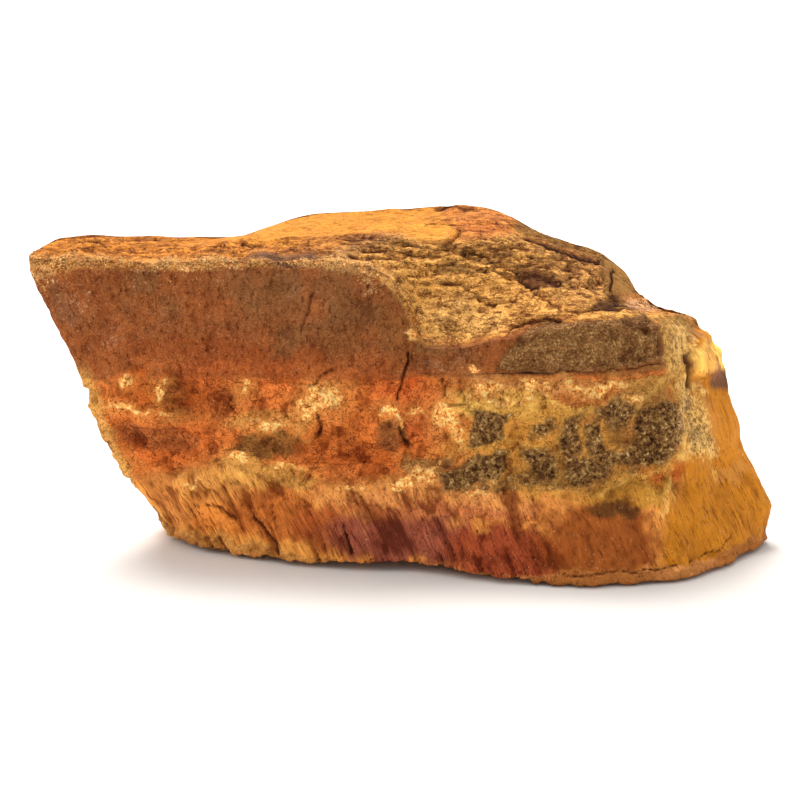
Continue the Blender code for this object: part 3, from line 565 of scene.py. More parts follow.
# Where each place shows from the front, in mm across and up: from 15 degrees above, 550 mm away.
FRONT_EYE = (0.0, -531.3, 165.9)
FRONT_SINE, FRONT_COSINE, FRONT_AWAY = 0.2588, 0.9659, 550.0
from_eye = skin - FRONT_EYE
depth = from_eye[..., 1] * FRONT_COSINE - from_eye[..., 2] * FRONT_SINE
across = FRONT_AWAY * x / depth
up = FRONT_AWAY * (from_eye[..., 1] * FRONT_SINE + from_eye[..., 2] * FRONT_COSINE) / depth
across_ragged = across + 0.45 * ragged + 0.2 * fine_ragged
up_ragged = up + 0.3 * ragged_too - 0.15 * fine_ragged

on_top = eased(course - COURSE["brow_foot"] - 0.3, 0.5)
on_face = front * (1 - on_top)
front_or_top = np.maximum(front, on_top * eased(26.0 - y, 6.0))

# The back's crusts and dark patches are scattered, with edges that stray by up to about 2 mm.
astray = skin + 1.8 * np.stack([ragged, ragged_too, fine_ragged], -1)
back_noise = soft_noise(astray / 6.0, 77) + 0.5 * soft_noise(astray / 2.3, 78)
back_dark = soft_noise(astray / 9.0, 79) + 0.4 * soft_noise(astray / 3.0, 80)

cream = on_face * np.maximum(fuzzy(u, v, CREAM_PATCHES), lines(u, v, CREAM_LINES))
cream = np.maximum(cream, behind * (1 - top) * (1 - fibre) * 0.72 * eased(back_noise - 0.45, 0.9))
# Round each crust the stone is paler too.
halo = on_face * fuzzy(u, v, [(a, b, 1.7 * c + 0.6, 1.7 * d + 0.5, e) for a, b, c, d, e in CREAM_PATCHES])
dust = on_face * fuzzy(u, v, DUST_PATCHES)
# The pale, worn edge along the brow, and how high it is along the stone.
chamfer_height = np.interp(x, (-58, -30, -20, -8, 0, 3, 40), (1.5, 1.3, 0.5, 1.2, 1.4, 0.8, 0.5))
from_brow = (course - COURSE["brow"] + 0.15 - 0.25 * ragged) / (0.62 * chamfer_height)
chamfer = front * np.exp(-(from_brow**2)) * np.clip(0.95 + 0.45 * ragged_wide, 0, 1)
chamfer = chamfer * np.interp(x, (-20, 0, 10), (1, 0.8, 0.3))
VEINED_STRIP = [
    (42.6, 12.4), (46.5, 12.8), (46.8, 8.0), (46.6, 3.0), (48.6, 1.0), (49.6, -4.0), (51.5, -9.5),
    (46.0, -10.5), (44.4, -6.0), (44.6, 0.0), (43.2, 4.0),
]
veined = front * outlined(across_ragged, up_ragged, VEINED_STRIP, 2.2)
iron = np.zeros(x.shape)
for strength, outline in IRON_BLOCKS:
    iron = np.maximum(iron, strength * outlined(across_ragged, up_ragged, outline, 1.8))
iron_vein = on_face * lines(across + 0.3 * ragged, up + 0.3 * ragged_too, IRON_VEINS)
iron *= on_face * (1 - 0.8 * iron_vein)
iron = np.maximum(iron, behind * (1 - top) * (middle + 0.4 * host) * eased(back_dark - 0.1, 0.6))
UPPER_BLOCK = [  # the dark block under the brow
    (16.2, 4.0), (18.0, 7.2), (21.0, 10.6), (24.0, 12.0), (30.0, 11.6), (36.0, 12.0), (40.0, 13.0),
    (42.0, 10.4), (42.8, 5.6), (38.0, 4.8), (30.0, 3.6), (22.0, 3.6),
]
upper_block = front * outlined(across_ragged, up_ragged, UPPER_BLOCK, 0.9)
smooth_top = on_top * blocks(x, w, [(35.8, 6.0, 2.8, 7.0, 0.0, 1.0)])
plateau = on_top * np.maximum(
    blocks(x, w, [(-13.0, 10.5, 19.0, 11.0, 0.3, 1.0)], edge=2.0),
    blocks(x, w, [(4.8, 4.0, 4.6, 4.2, 0.0, 1.0)]),
)
lobe = on_top * blocks(x + 0.3 * ragged, y, [(2.0, 4.4, 7.2, 4.2, 0.35, 1.0)], edge=0.6)
rough_band = eased(course - COURSE["slope_line"] - 0.6, 0.6)
rough_band = rough_band * (1 - eased(course - COURSE["plateau_rim"] + 0.1, 0.5))
rough_band = rough_band * eased(x + 13.0, 8.0) * front * (1 - smooth_top)
face_cracks = on_face * lines(x + 0.4 * ragged, z + 0.4 * ragged_too, FACE_CRACKS)
top_cracks = front_or_top * lines(across + 0.25 * ragged, up + 0.2 * ragged_too, TOP_CRACKS)
# Painted shade along the face's cracks and the top's undercuts: the colour is darkened there.
crack_shade = np.maximum(face_cracks, top_cracks)
# Painted light: a lit strip down the prow, where the face turns into the back.
lit_prow_strip = np.maximum(1 - eased(station - 0.22 - 0.08 * ragged, 0.2), eased(station - 22.7, 0.2))
lit_prow_strip = lit_prow_strip * (1 - eased(z - 26.0, 5.0)) * (1 - top)
silky = np.maximum(golden, on_face * blocks(u, v, [(32.0, 7.0, 9.5, 6.0, 0.0, 1.0)], edge=2.0))
# How speckled each part is: the broken top the most, the silk hardly.
fleck = top * (0.7 - 0.2 * plateau - 0.2 * smooth_top) + 0.2 * middle + 0.3 * fibre + 0.35 * host
fleck = np.clip(fleck + 0.4 * upper_block + 0.1 * rim + 0.3 * chamfer, 0, 1)
fleck = fleck * (1 - 0.75 * silky * (1 - veined))
flat_top = np.maximum(plateau, on_top * blocks(x, w, [(6.0, 12.0, 14.0, 9.0, 0.0, 1.0)], edge=2.0))

# The stone's broad colour: its layers' own colours, then the stains laid over them, and a painted lit strip
# down the prow.
wash = np.zeros((*x.shape, 3))
for code, share in (("96552A", host), ("E67A35", middle), ("E09244", fibre), ("D08A42", top)):
    wash += np.array(linear(code)[:3]) * share[..., None]
wash /= np.maximum(host + middle + fibre + top, 1e-6)[..., None]
wash += (np.array(linear("B46E14")[:3]) - wash) * golden[..., None]


def stain(code, amount):
    """Lays a colour over the stone's broad colour by amount."""
    wash[...] += (np.array(linear(code)[:3]) - wash) * np.clip(amount, 0, 1)[..., None]


stain("8A5A34", behind * (1 - top) * 0.6 * eased(back_dark, 0.5))
stain("D0A060", behind * (1 - top) * 0.5 * eased(back_noise, 0.8))
stain("B4682C", behind * middle * 0.55)
for at_u, at_v, half_u, half_v, slant, code, strength in WASHES:
    away = ((u - at_u - slant * (v - at_v)) / half_u) ** 2 + ((v - at_v) / half_v) ** 2
    stain(code, on_face * strength * (1 - eased(away + 0.3 * ragged + 0.15 * fine_ragged - 0.5, 0.95)))
for code, strength, soft, outline in PAINT:
    stain(code, front_or_top * strength * outlined(across_ragged, up_ragged, outline, soft))
stain("E8A856", halo * 0.65 * (1 - 0.8 * host))
stain("7E5A36", host * 0.5 * eased(soft_noise(skin / 4.5, 91) + 0.3 * ragged, 0.8))
stain("B0602E", host * 0.5 * eased(soft_noise(skin / 4.5, 92) + 0.3 * ragged - 0.1, 0.8))
stain("E0A048", 0.9 * iron_vein)
yellow_vein = on_face * lines(x + 0.8 * ragged, z + 0.8 * ragged_too, YELLOW_VEINS)
yellow_vein = yellow_vein * eased(0.6 + fine_ragged, 0.8)
stain("F4C464", 0.6 * yellow_vein)
stain("7E5C32", upper_block * 0.9)
stain("4E3420", upper_block * 0.45 * eased(27.0 - across_ragged, 4.0))
# painted light along the prow's turn
stain("E4AA58", lit_prow_strip * 0.85)
stain("D8A05C", on_face * rim * 0.35 * eased(22.0 - x, 4.0))
stain("A05E2A", on_face * rim * 0.75 * eased(x - 18.0, 4.0))

# ------------------------------------------------------------------------------------------------------
# The broken surface. Chips and planes everywhere, knobs and pockets where the minerals are, splinters and
# grooves along the silky fibres of the seam, and torn, shingled steps over the top.
# ------------------------------------------------------------------------------------------------------
FORMS = [  # side (-1 face, 1 back), (x, z), half width, half height, rise
    (-1, -41.5, 24.6, 5.2, 3.8, 1.1), (-1, -34.0, 24.8, 3.4, 4.6, -0.6), (-1, -38.0, 18.3, 7.5, 1.8, -1.2),
    (-1, -12.6, 25.2, 3.4, 3.4, 1.2), (-1, -12.2, 21.0, 1.2, 2.0, -0.9), (-1, -1.5, 23.5, 2.6, 2.6, 0.7),
    (-1, 8.8, 25.0, 3.2, 4.2, 1.1), (-1, -24.5, 16.6, 3.6, 1.3, 0.9), (-1, -19.0, 18.6, 4.0, 1.4, -0.8),
    (-1, 20.5, 20.0, 2.6, 4.5, -0.6), (-1, 33.5, 22.0, 5.5, 5.5, 0.8), (-1, 49.0, 31.5, 2.8, 3.4, 1.3),
    (-1, 46.2, 25.5, 1.6, 5.0, -1.0), (1, 31.0, 26.0, 9.0, 9.0, -2.4), (1, 6.0, 34.0, 12.0, 6.0, 1.6),
    (1, -10.0, 19.0, 8.0, 7.0, -1.8), (1, -27.0, 34.0, 8.0, 8.0, 1.2),
]
FORM_EDGE = 0.45  # the share of its half width over which a form comes up
# How wide the planes and chips of each kind are, and how deep.
FACET_SIZE, FACET_DEPTH = 11.0, 1.3
BACK_FACET_SIZE, BACK_FACET_DEPTH = 17.0, 3.2
GRAIN_SIZE, GRAIN_DEPTH = 4.5, 0.6
CHIP_SIZE, CHIP_DEPTH = 3.4, 0.5
CRUMB_SIZE, CRUMB_DEPTH = 1.6, 0.36
GRIT_SIZE, GRIT_DEPTH = 0.8, 0.16
RIPPLE = (1.5, 1.5, 7.0)  # the upper band's upright ripples
RIPPLE_DEPTH = 0.09
FIBRE_LEAN, FIBRE_LEAN_PER_MM = 0.47, -0.003  # how the fibres lean out of the upright along the stone
SPLINTER = (2.0, 3.0, 9.0)  # across, into and along the fibres
SPLINTER_DEPTH = 0.45
GROOVE = (0.65, 1.4, 7.0)  # likewise
GROOVE_DEPTH = 0.34
SHINGLE_HEIGHT, FLAKE_HEIGHT = 1.5, 0.5  # the top's torn steps, broad and fine
SHINGLE_TILT = (0.10, 0.13)  # the steps dip by so much for each millimetre along and back
SHINGLE_FALL = 0.2  # share of a step over which it breaks off
CRACK_DEPTH = 0.6
CREAM_RISE, IRON_RISE, LOBE_RISE = 0.45, 0.3, 0.45  # how far crusts, ironstone and the lobe stand out
RELIEF_FADE, LIP_FADE = 2.5, 0.9  # how high above the ground the relief comes in: broad, and fine
LOWEST_RELIEF = 0.12  # nothing but the resting flat comes lower than this

over_brow = eased(course - COURSE["brow"], 1.0)
under_brow = 1 - eased(course - COURSE["ledge_lip"], 1.0)
broken_by_course = [FACE_COURSES[n][4] if n in FACE_COURSES else TOP_BROKEN[n] for n in COURSE]
broken = np.interp(course, range(len(COURSE)), broken_by_course)

forms = np.zeros(x.shape)
for side, at_x, at_z, half_width, half_height, rise in FORMS:
    away = np.hypot((x - at_x) / half_width, (z - at_z) / half_height)
    forms += rise * eased(1 + FORM_EDGE - away, 2 * FORM_EDGE) * (y * side > 0)

# Sheared so that one coordinate runs across the fibres and another along them.
lean = FIBRE_LEAN + FIBRE_LEAN_PER_MM * x
fibre_space = np.stack([x + z * lean, y + 0.3 * z * behind, z], -1)
groove = 1 - eased(np.abs(soft_noise(fibre_space / GROOVE, 81)), 0.34)
splinter = facets(fibre_space / SPLINTER, 82, crispness=14.0)

# How much of the chips, crumbs and grit each part of the stone has.
fine = 0.30 * host + 0.75 * middle * (1 - 0.8 * golden) + 0.35 * fibre * (1 - 0.6 * golden)
fine += top * (0.22 + 0.2 * rough_band - 0.2 * flat_top - 0.2 * smooth_top)
fine += 0.5 * rim * (1 - top) + 0.5 * upper_block + 0.25 * chamfer
chips = facets(skin / CHIP_SIZE, 61, crispness=30.0)
crumbs = facets(skin / CRUMB_SIZE, 62, crispness=30.0)
grit = soft_noise(skin / GRIT_SIZE, 63)


def torn_steps(height, warp):
    """Steps along the level z + tilts * (x, y) + warp, each a slow climb and a break; and their feet."""
    part = ((z + SHINGLE_TILT[0] * x + SHINGLE_TILT[1] * y + warp) / height) % 1
    steps = height * (eased(part - 0.35, SHINGLE_FALL) - part)
    return steps, np.exp(-(((part - 0.36) / 0.12) ** 2))


shingle_warp = 1.4 * facets(skin / (11.0, 7.0, 9.0), 64)
shingle_warp += 0.5 * facets(skin / (3.5, 4.0, 5.0), 65, crispness=20.0)
flake_warp = facets(skin / (8.0, 5.0, 6.0), 67) + 0.3 * facets(skin / (3.2, 2.2, 3.0), 68, crispness=20.0)
shingles, shingle_feet = torn_steps(SHINGLE_HEIGHT, shingle_warp)
flakes, flake_feet = torn_steps(FLAKE_HEIGHT, flake_warp)
shingle_amount = over_brow * (0.3 + 0.4 * rough_band - 0.28 * flat_top - 0.27 * smooth_top)
shingle_amount = shingle_amount * (0.35 + 0.65 * front)
flake_amount = over_brow * (0.6 + 0.2 * rough_band - 0.55 * flat_top - 0.58 * smooth_top)
# Painted shade at the feet of the top's steps and flakes.
shingle_foot_shade = np.maximum(shingle_feet * shingle_amount, 0.7 * flake_feet * flake_amount)

relief = FACET_DEPTH * broken * facets(skin / FACET_SIZE, 3) + forms * (1 - over_brow)
relief += eased(y - 2.0, 8.0) * under_brow * BACK_FACET_DEPTH * facets(skin / BACK_FACET_SIZE, 41)
details = fine * (CHIP_DEPTH * chips + CRUMB_DEPTH * crumbs + GRIT_DEPTH * grit)
details += host * RIPPLE_DEPTH * soft_noise(skin / RIPPLE, 66)
details += fibre * (1 - 0.6 * rim) * (1 - 0.7 * silky) * (SPLINTER_DEPTH * splinter - GROOVE_DEPTH * groove)
details += CREAM_RISE * cream * (0.7 + 0.6 * crumbs) + IRON_RISE * iron * (1 + grit) + LOBE_RISE * lobe
details += shingle_amount * shingles + flake_amount * flakes
details += 0.4 * rim * eased(x - 18.0, 6.0) * eased(56.0 - x, 6.0) * (1 + 0.5 * ragged)
details += 0.2 * yellow_vein - CRACK_DEPTH * (face_cracks + 1.3 * top_cracks)

lift = np.array([0.0, 0.0, 1.0])
direction = normals * (1 - over_brow[..., None]) + lift * over_brow[..., None]
grain = np.stack([soft_noise(skin / GRAIN_SIZE, seed) for seed in (11, 12, 13)], -1)
moved = direction * relief[..., None] + grain * GRAIN_DEPTH * broken[..., None]
moved *= eased(skin[..., 2:], RELIEF_FADE)
moved += direction * (details * eased(z, LIP_FADE))[..., None]
stone_points = skin.copy()
stone_points[1:] += moved[1:]
stone_points[1:, :, 2] = np.maximum(stone_points[1:, :, 2], LOWEST_RELIEF)

# The fine skin is laid exactly into the box of the solid that it replaces.
own_low, own_high = stone_points.min((0, 1)) * MM, stone_points.max((0, 1)) * MM
stone_points = CAD_LOW + (stone_points * MM - own_low) * (CAD_HIGH - CAD_LOW) / (own_high - own_low)


def zipped(ring):
    """Triangles that close a ring, its near side zipped to its far side in the order of their x."""
    tip = int(np.argmax(skin[0, :, 0]))
    near = ring[: tip + 1]
    far = np.r_[ring[0], ring[:tip:-1], ring[tip]]
    near_x, far_x = (np.maximum.accumulate(stone_points.reshape(-1, 3)[side, 0]) for side in (near, far))
    across = far[np.searchsorted(far_x[1:], near_x[1:], side="left")]
    back_across = near[np.searchsorted(near_x[1:], far_x[1:], side="right")]
    faces = np.r_[np.c_[near[:-1], near[1:], across], np.c_[far[1:], far[:-1], back_across]]
    own = (faces[:, 0] != faces[:, 1]) & (faces[:, 1] != faces[:, 2]) & (faces[:, 0] != faces[:, 2])
    return faces[own]


rows, columns = skin.shape[:2]
here = np.arange(rows * columns).reshape(rows, columns)
beside = np.roll(here, -1, 1)
quads = np.stack([here[:-1], beside[:-1], beside[1:], here[1:]], -1).reshape(-1, 4)
crown_faces, foot_faces = zipped(here[-1]), zipped(here[0])[:, ::-1]
stone_mesh = bpy.data.meshes.new("rough_tigers_eye")
stone_faces = [*quads.tolist(), *crown_faces.tolist(), *foot_faces.tolist()]
stone_mesh.from_pydata(stone_points.reshape(-1, 3).tolist(), [], stone_faces)
stone_mesh.shade_smooth()


def carry(name, r, g, b, a):
    """Stores four masks on the mesh as one colour attribute."""
    values = np.stack([np.broadcast_to(m, x.shape) for m in (r, g, b, a)], -1).astype(np.float32)
    layer = stone_mesh.attributes.new(name, "FLOAT_COLOR", "POINT")
    layer.data.foreach_set("color", values.ravel())


# Painted shade in the hollows of the relief: the lower the surface, the darker its colour.
shade = np.clip(0.5 + 0.75 * details, 0, 1)
carry("wash", wash[..., 0], wash[..., 1], wash[..., 2], golden)
carry("layers", top, middle, fibre, host)
carry("minerals_and_shade", iron, cream, crack_shade, shade)
carry("top_marks", plateau, rough_band, smooth_top, np.clip(shingle_foot_shade, 0, 1))
carry("more_marks", rim, upper_block, veined, dust)
# The coarse grain of the middle layer to the right of its hollow, between ironstone and crusts.
granular = middle * eased(x - 7.0 - ragged, 4.0) * (1 - golden)
granular = granular * (1 - 0.9 * np.clip(iron, 0, 1)) * (1 - 0.6 * cream)
carry("edges", chamfer, fleck, silky, granular)
fibre_layer = stone_mesh.attributes.new("fibre_space", "FLOAT_VECTOR", "POINT")
fibre_layer.data.foreach_set("vector", fibre_space.astype(np.float32).ravel())

stone = bpy.data.objects.new("rough_stone", stone_mesh)
bpy.context.scene.collection.objects.link(stone)
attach(stone, "root")
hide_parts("stone")

# ------------------------------------------------------------------------------------------------------
# The stone's finish: raw tiger's eye, quartz stained by iron oxides. It was broken and never polished, so
# it is matt and gritty, and only the fibres of the seam and the golden end keep a dull, silky gloss.
# ------------------------------------------------------------------------------------------------------
finish = bpy.data.materials.new("raw_tigers_eye")
finish.use_nodes = True
tree = finish.node_tree
STEPS = {  # short names for the steps that the finish is worked out in: node and settings
    "times": ("Math", {"operation": "MULTIPLY"}),
    "times_plus": ("Math", {"operation": "MULTIPLY_ADD"}),
    "plus": ("Math", {"operation": "ADD"}),
    "minus": ("Math", {"operation": "SUBTRACT"}),
    "divide": ("Math", {"operation": "DIVIDE"}),
    "most": ("Math", {"operation": "MAXIMUM"}),
    "size": ("Math", {"operation": "ABSOLUTE"}),
    "floor": ("Math", {"operation": "FLOOR"}),
    "part": ("Math", {"operation": "FRACT"}),
    "ease": ("MapRange", {"interpolation_type": "SMOOTHSTEP"}),  # 0 up to the first level, 1 from the second
    "mix": ("Mix", {}),  # the second value instead of the first, by an amount
    "lay": ("Mix", {"data_type": "RGBA"}),  # a colour laid over another, by an amount
    "tint": ("Mix", {"data_type": "RGBA", "blend_type": "MULTIPLY"}),
    "ramp": ("ValToRGB", {}),
    "noise": ("TexNoise", {}),  # at a place: scale, detail, roughness; mostly from 0.25 to 0.75
}


def add(step, *values, out="", stops=(), **settings):
    """One node: its settings, the stops of its ramp, and its inputs, each a value or a link, in the order of
    its open sockets or by name in a dict. Gives back the outputs named, or the first that is open."""
    kind, usual = STEPS.get(step, (step, {}))
    made = tree.nodes.new("ShaderNode" + kind)
    for name, value in {**usual, **settings}.items():
        setattr(made, name, value)
    if stops:
        run = made.color_ramp.elements
        for level, code in stops:
            run.new(level).color = linear(code)
        run.remove(run[0])
        run.remove(run[-1])
    sockets = [socket for socket in made.inputs if socket.enabled]
    given = values[0] if values and isinstance(values[0], dict) else dict(enumerate(values))
    for key, value in given.items():
        socket = made.inputs[key] if isinstance(key, str) else sockets[key]
        if isinstance(value, bpy.types.NodeSocket):
            tree.links.new(value, socket)
        else:
            socket.default_value = value
    named = [made.outputs[name] for name in out.split()]
    return named if len(named) > 1 else [*named, *(s for s in made.outputs if s.enabled)][0]


def masks(name):
    """The four masks that carry() stored under a name."""
    packed, fourth = add("Attribute", attribute_name=name, out="Color Alpha")
    return (*add("SeparateColor", packed, out="Red Green Blue"), fourth)


def gritty(mask, breaker, reach=1.2, sharp=0.1):
    """A mask whose edge breaks up into grains: mask + reach * (breaker - 0.5), cut at a half."""
    cut = 0.5 + reach * 0.5
    return add("ease", add("times_plus", breaker, reach, mask), cut - sharp, cut + sharp)


def contour(value, level, width):
    """Thin lines where a value passes a level: the size of value - level, eased to 1 within width."""
    return add("ease", add("size", add("minus", value, level)), width, width * 0.25)


def ledges(value, count):
    """A value broken into flat steps with short rises."""
    many = add("times", value, count)
    rise = add("ease", add("part", many), 0.7, 1.0)
    return add("divide", add("plus", add("floor", many), rise), count)


def chipped(scale, turn, own_height):
    """Flat facets with sharp edges, each cell leaning its own way: their height, their edges and own tone."""
    at = add("Mapping", {"Vector": warped_mm, "Scale": scale, "Rotation": (0, turn, 0)})
    cell, seat = add("TexVoronoi", at, 1.0, out="Color Position")
    edge = add("TexVoronoi", at, 1.0, feature="DISTANCE_TO_EDGE")
    away = add("VectorMath", at, seat, operation="SUBTRACT")
    leans = add("VectorMath", cell, (0.5, 0.5, 0.5), operation="SUBTRACT")
    rise = add("VectorMath", away, leans, operation="DOT_PRODUCT")
    own = add("SeparateColor", cell)
    return add("times_plus", own, own_height, rise), add("ease", edge, 0.09, 0.02), own


wash_in, golden_in = add("Attribute", attribute_name="wash", out="Color Alpha")
top_in, middle_in, fibre_in, host_in = masks("layers")
iron_in, cream_in, crack_shade_in, shade_in = masks("minerals_and_shade")
plateau_in, rough_in, smooth_in, shingle_shade_in = masks("top_marks")
rim_in, block_in, veined_in, dust_in = masks("more_marks")
chamfer_in, fleck_in, silky_in, granular_in = masks("edges")
calm = add("most", plateau_in, smooth_in)

# Object coordinates in millimetres, so that a scale of 1 is a feature of about 1 mm. The finest grit of the
# real stone is too small to show, so it is drawn about 0.25 mm wide.
in_mm = add("Mapping", {"Vector": add("TexCoord", out="Object"), "Scale": (1000, 1000, 1000)})
upright = add("Mapping", {"Vector": in_mm, "Scale": (1.3, 1.3, 0.7), "Rotation": (0, 0.35, 0)})
bedded = add("Mapping", {"Vector": in_mm, "Scale": (0.36, 0.8, 1.5), "Rotation": (0, 0.12, 0)})
fibre_mm = add("Attribute", attribute_name="fibre_space", out="Vector")
along_fibre = add("Mapping", {"Vector": fibre_mm, "Scale": (1.5, 0.9, 0.09)})  # 0.7 mm wide, 11 mm long
thin_fibre = add("Mapping", {"Vector": fibre_mm, "Scale": (4.0, 2.0, 0.28)})  # 0.25 mm wide, 4 mm long
bent = add("noise", in_mm, 0.5, 3.0, out="Color")
bent_mm = add("Mix", 0.72, in_mm, bent, data_type="VECTOR")
warped_mm = add("VectorMath", bent, (1.6, 1.6, 1.6), in_mm, operation="MULTIPLY_ADD")

patchy = add("noise", in_mm, 0.4, 5.0, 0.62)
mottle = add("noise", in_mm, 1.1, 4.0, 0.68)
speck = add("noise", in_mm, 2.8, 3.0, 0.75)
flecks = add("noise", in_mm, 4.2, 3.0, 0.8)
streak = add("noise", upright, 1.0, 5.0, 0.68)
bedding = add("noise", bedded, 1.0, 6.0, 0.66)
silk = add("noise", along_fibre, 1.0, 4.0, 0.6)
thread = add("noise", thin_fibre, 1.0, 2.0, 0.6)
crinkle = add("noise", warped_mm, 0.75, 4.0, 0.55)
wrinkle = add("noise", warped_mm, 1.7, 2.0, 0.5)
grain_tone = add("SeparateColor", add("TexVoronoi", in_mm, 2.1, out="Color"))
big_chips, big_edges, _ = chipped((0.42, 0.42, 0.75), 0.15, 0.35)
small_chips, small_edges, small_tone = chipped((0.8, 1.1, 2.1), 0.12, 0.3)

# The tone of the grain, from dark hollows to light points, in each layer's own weave.
grit_tone = add("mix", 0.5, mottle, speck)
middle_tone = add("mix", 0.68, patchy, add("mix", 0.45, mottle, speck))
top_tone = add("mix", 0.4, add("mix", 0.35, bedding, speck), add("times_plus", small_tone, 0.5, 0.25))
silky_tone = add("times_plus", add("mix", 0.55, silk, thread), 0.85, 0.06)
tone = add("mix", middle_in, add("mix", 0.4, streak, speck), middle_tone)
tone = add("mix", fibre_in, tone, add("mix", 0.72, silk, thread))
tone = add("mix", top_in, tone, top_tone)
tone = add("mix", silky_in, tone, silky_tone)
tone = add("mix", rim_in, tone, grit_tone)
iron_tone = add("mix", 0.16, add("mix", 0.42, mottle, speck), grain_tone)

# Hair-fine cracks, most of them in the middle layer and none in the silk.
crinkle_lines = add("times", contour(crinkle, 0.47, 0.026), add("ease", patchy, 0.42, 0.52))
wrinkle_lines = add("times", contour(wrinkle, 0.5, 0.036), add("ease", mottle, 0.44, 0.54))
top_share = add("times", top_in, add("mix", calm, 0.6, 0.2))
crack_share = add("times_plus", middle_in, 0.9, add("times_plus", host_in, 0.35, top_share))
crack_share = add("times", add("times_plus", rim_in, 0.5, crack_share), add("minus", 1.0, silky_in))
fine_cracks = add("times", add("most", crinkle_lines, add("times", wrinkle_lines, 0.75)), crack_share)

# The broad colour, darkened and lightened by the grain, then dust, the edge of the brow and black specks.
restrained = add("most", add("times_plus", fibre_in, 0.5, middle_in), calm)
dark_amount = add("times", add("ease", tone, 0.5, 0.32), add("mix", restrained, 1.0, 0.6))
light_amount = add("times", add("ease", tone, 0.52, 0.72), add("mix", middle_in, 1.0, 0.5))
light_amount = add("times", light_amount, add("minus", 1.0, add("times", calm, 0.7)))
colour = add("lay", dark_amount, wash_in, add("tint", 1.0, wash_in, linear("8E6250")))
colour = add("lay", light_amount, colour, add("tint", 1.0, wash_in, (1.55, 1.5, 1.4, 1)))
pale_specks = add("times", add("ease", speck, 0.60, 0.70), add("ease", patchy, 0.46, 0.60))
colour = add("lay", add("times", pale_specks, add("mix", host_in, 0.55, 0.3)), colour, linear("E8C090"))
dust_tone = add("ramp", speck, stops=[(0.35, "96603C"), (0.65, "D0A078")])
colour = add("lay", gritty(dust_in, add("mix", 0.4, mottle, speck), 1.5, 0.3), colour, dust_tone)
chamfer_stops = [(0.34, "9C5E2E"), (0.46, "E6A25A"), (0.56, "FCC67A"), (0.68, "FFE4A8")]
chamfer_edge = gritty(add("times", chamfer_in, 0.8), grit_tone, 1.9, 0.26)
colour = add("lay", chamfer_edge, colour, add("ramp", grit_tone, stops=chamfer_stops))
black_specks = add("times", add("ease", mottle, 0.40, 0.30), add("minus", 0.8, calm))
colour = add("lay", add("times", black_specks, 0.5), colour, linear("3A1C0C"))
colour = add("lay", add("times", fine_cracks, 0.75), colour, add("tint", 1.0, colour, linear("7C4A30")))

# The top's fissures and bedding lines.
fissures = add("times", gritty(rough_in, bedding, 1.6, 0.12), add("ease", bedding, 0.54, 0.44))
colour = add("lay", add("times", fissures, 0.5), colour, linear("5A3818"))
bed_line = add("times", contour(bedding, 0.47, 0.022), add("ease", patchy, 0.36, 0.48))
bed_share = add("times", top_in, add("mix", calm, 0.75, 0.35))
colour = add("lay", add("times", bed_line, bed_share), colour, linear("5E3014"))

# The minerals: the block under the brow, the veined strip, the ironstone, the pale crusts.
block_tone = add("ramp", grit_tone, stops=[(0.34, "422A12"), (0.5, "906438"), (0.64, "C8A268")])
colour = add("lay", gritty(block_in, mottle, 0.8, 0.12), colour, block_tone)
net_at = add("Mapping", {"Vector": bent_mm, "Scale": (2.2, 2.0, 0.4), "Rotation": (0, -0.15, 0)})
net = add("ease", add("TexVoronoi", net_at, 1.0, feature="DISTANCE_TO_EDGE"), 0.15, 0.02)
net_stops = [(0.38, "4A3018"), (0.45, "8E6430"), (0.51, "C08E40"), (0.60, "ECBC60")]
net_tone = add("ramp", grit_tone, stops=net_stops)
net_tone = add("lay", add("times", net, add("ease", mottle, 0.42, 0.54)), net_tone, linear("E4B464"))
colour = add("lay", add("times", gritty(veined_in, mottle, 1.8, 0.3), 0.85), colour, net_tone)
iron_stops = [(0.36, "321F12"), (0.44, "5E3D20"), (0.52, "8A6336"), (0.60, "B88E52"), (0.69, "ECCE9A")]
iron_edge = gritty(iron_in, add("mix", 0.5, patchy, mottle), 1.7, 0.26)
colour = add("lay", iron_edge, colour, add("ramp", iron_tone, stops=iron_stops))
crust_stops = [(0.38, "884818"), (0.44, "B87434"), (0.485, "EAA252"), (0.525, "FCC672"), (0.57, "FFDC90")]
crust = add("tint", 1.0, add("ramp", grit_tone, stops=crust_stops), (1.25, 1.22, 1.2, 1))
colour = add("lay", gritty(cream_in, add("mix", 0.5, mottle, patchy), 0.95, 0.14), colour, crust)
grain_shade = add("ramp", iron_tone, stops=[(0.34, "6E4A30"), (0.42, "D0B8A4"), (0.47, "FFFFFF")])
colour = add("tint", add("times", granular_in, 0.4), colour, grain_shade)

# Strokes on the upper band, flecks, painted glints of light, and painted shade in chips, steps, undercuts,
# cracks and hollows.
strokes = add("times", contour(streak, 0.54, 0.014), add("ease", speck, 0.40, 0.52))
colour = add("lay", add("times", strokes, add("times", host_in, 0.4)), colour, linear("CE9468"))
fleck_amount = add("times", fleck_in, add("times_plus", add("ease", mottle, 0.40, 0.60), 0.6, 0.35))
fleck_shade = add("ramp", flecks, stops=[(0.37, "7E6858"), (0.5, "E0D6CC"), (0.58, "FFFFFF")])
colour = add("tint", fleck_amount, colour, fleck_shade)
# painted glints: specks of highlight laid over the colour
glints = add("times", add("ease", add("mix", 0.4, flecks, speck), 0.54, 0.66), add("times", fleck_in, 0.8))
colour = add("lay", glints, colour, add("tint", 1.0, colour, (2.1, 2.0, 1.7, 1)))
# Painted shade along the edges of the top's chips.
big_edge_shade = add("times", big_edges, add("ease", patchy, 0.50, 0.56))
small_edge_shade = add("times", small_edges, add("ease", mottle, 0.54, 0.60))
colour = add("tint", add("times", top_share, add("most", big_edge_shade, small_edge_shade)), colour, linear("8A5434"))
step_tone = add("mix", top_in, mottle, bedding)
step_count = add("mix", top_in, 12.0, 16.0)
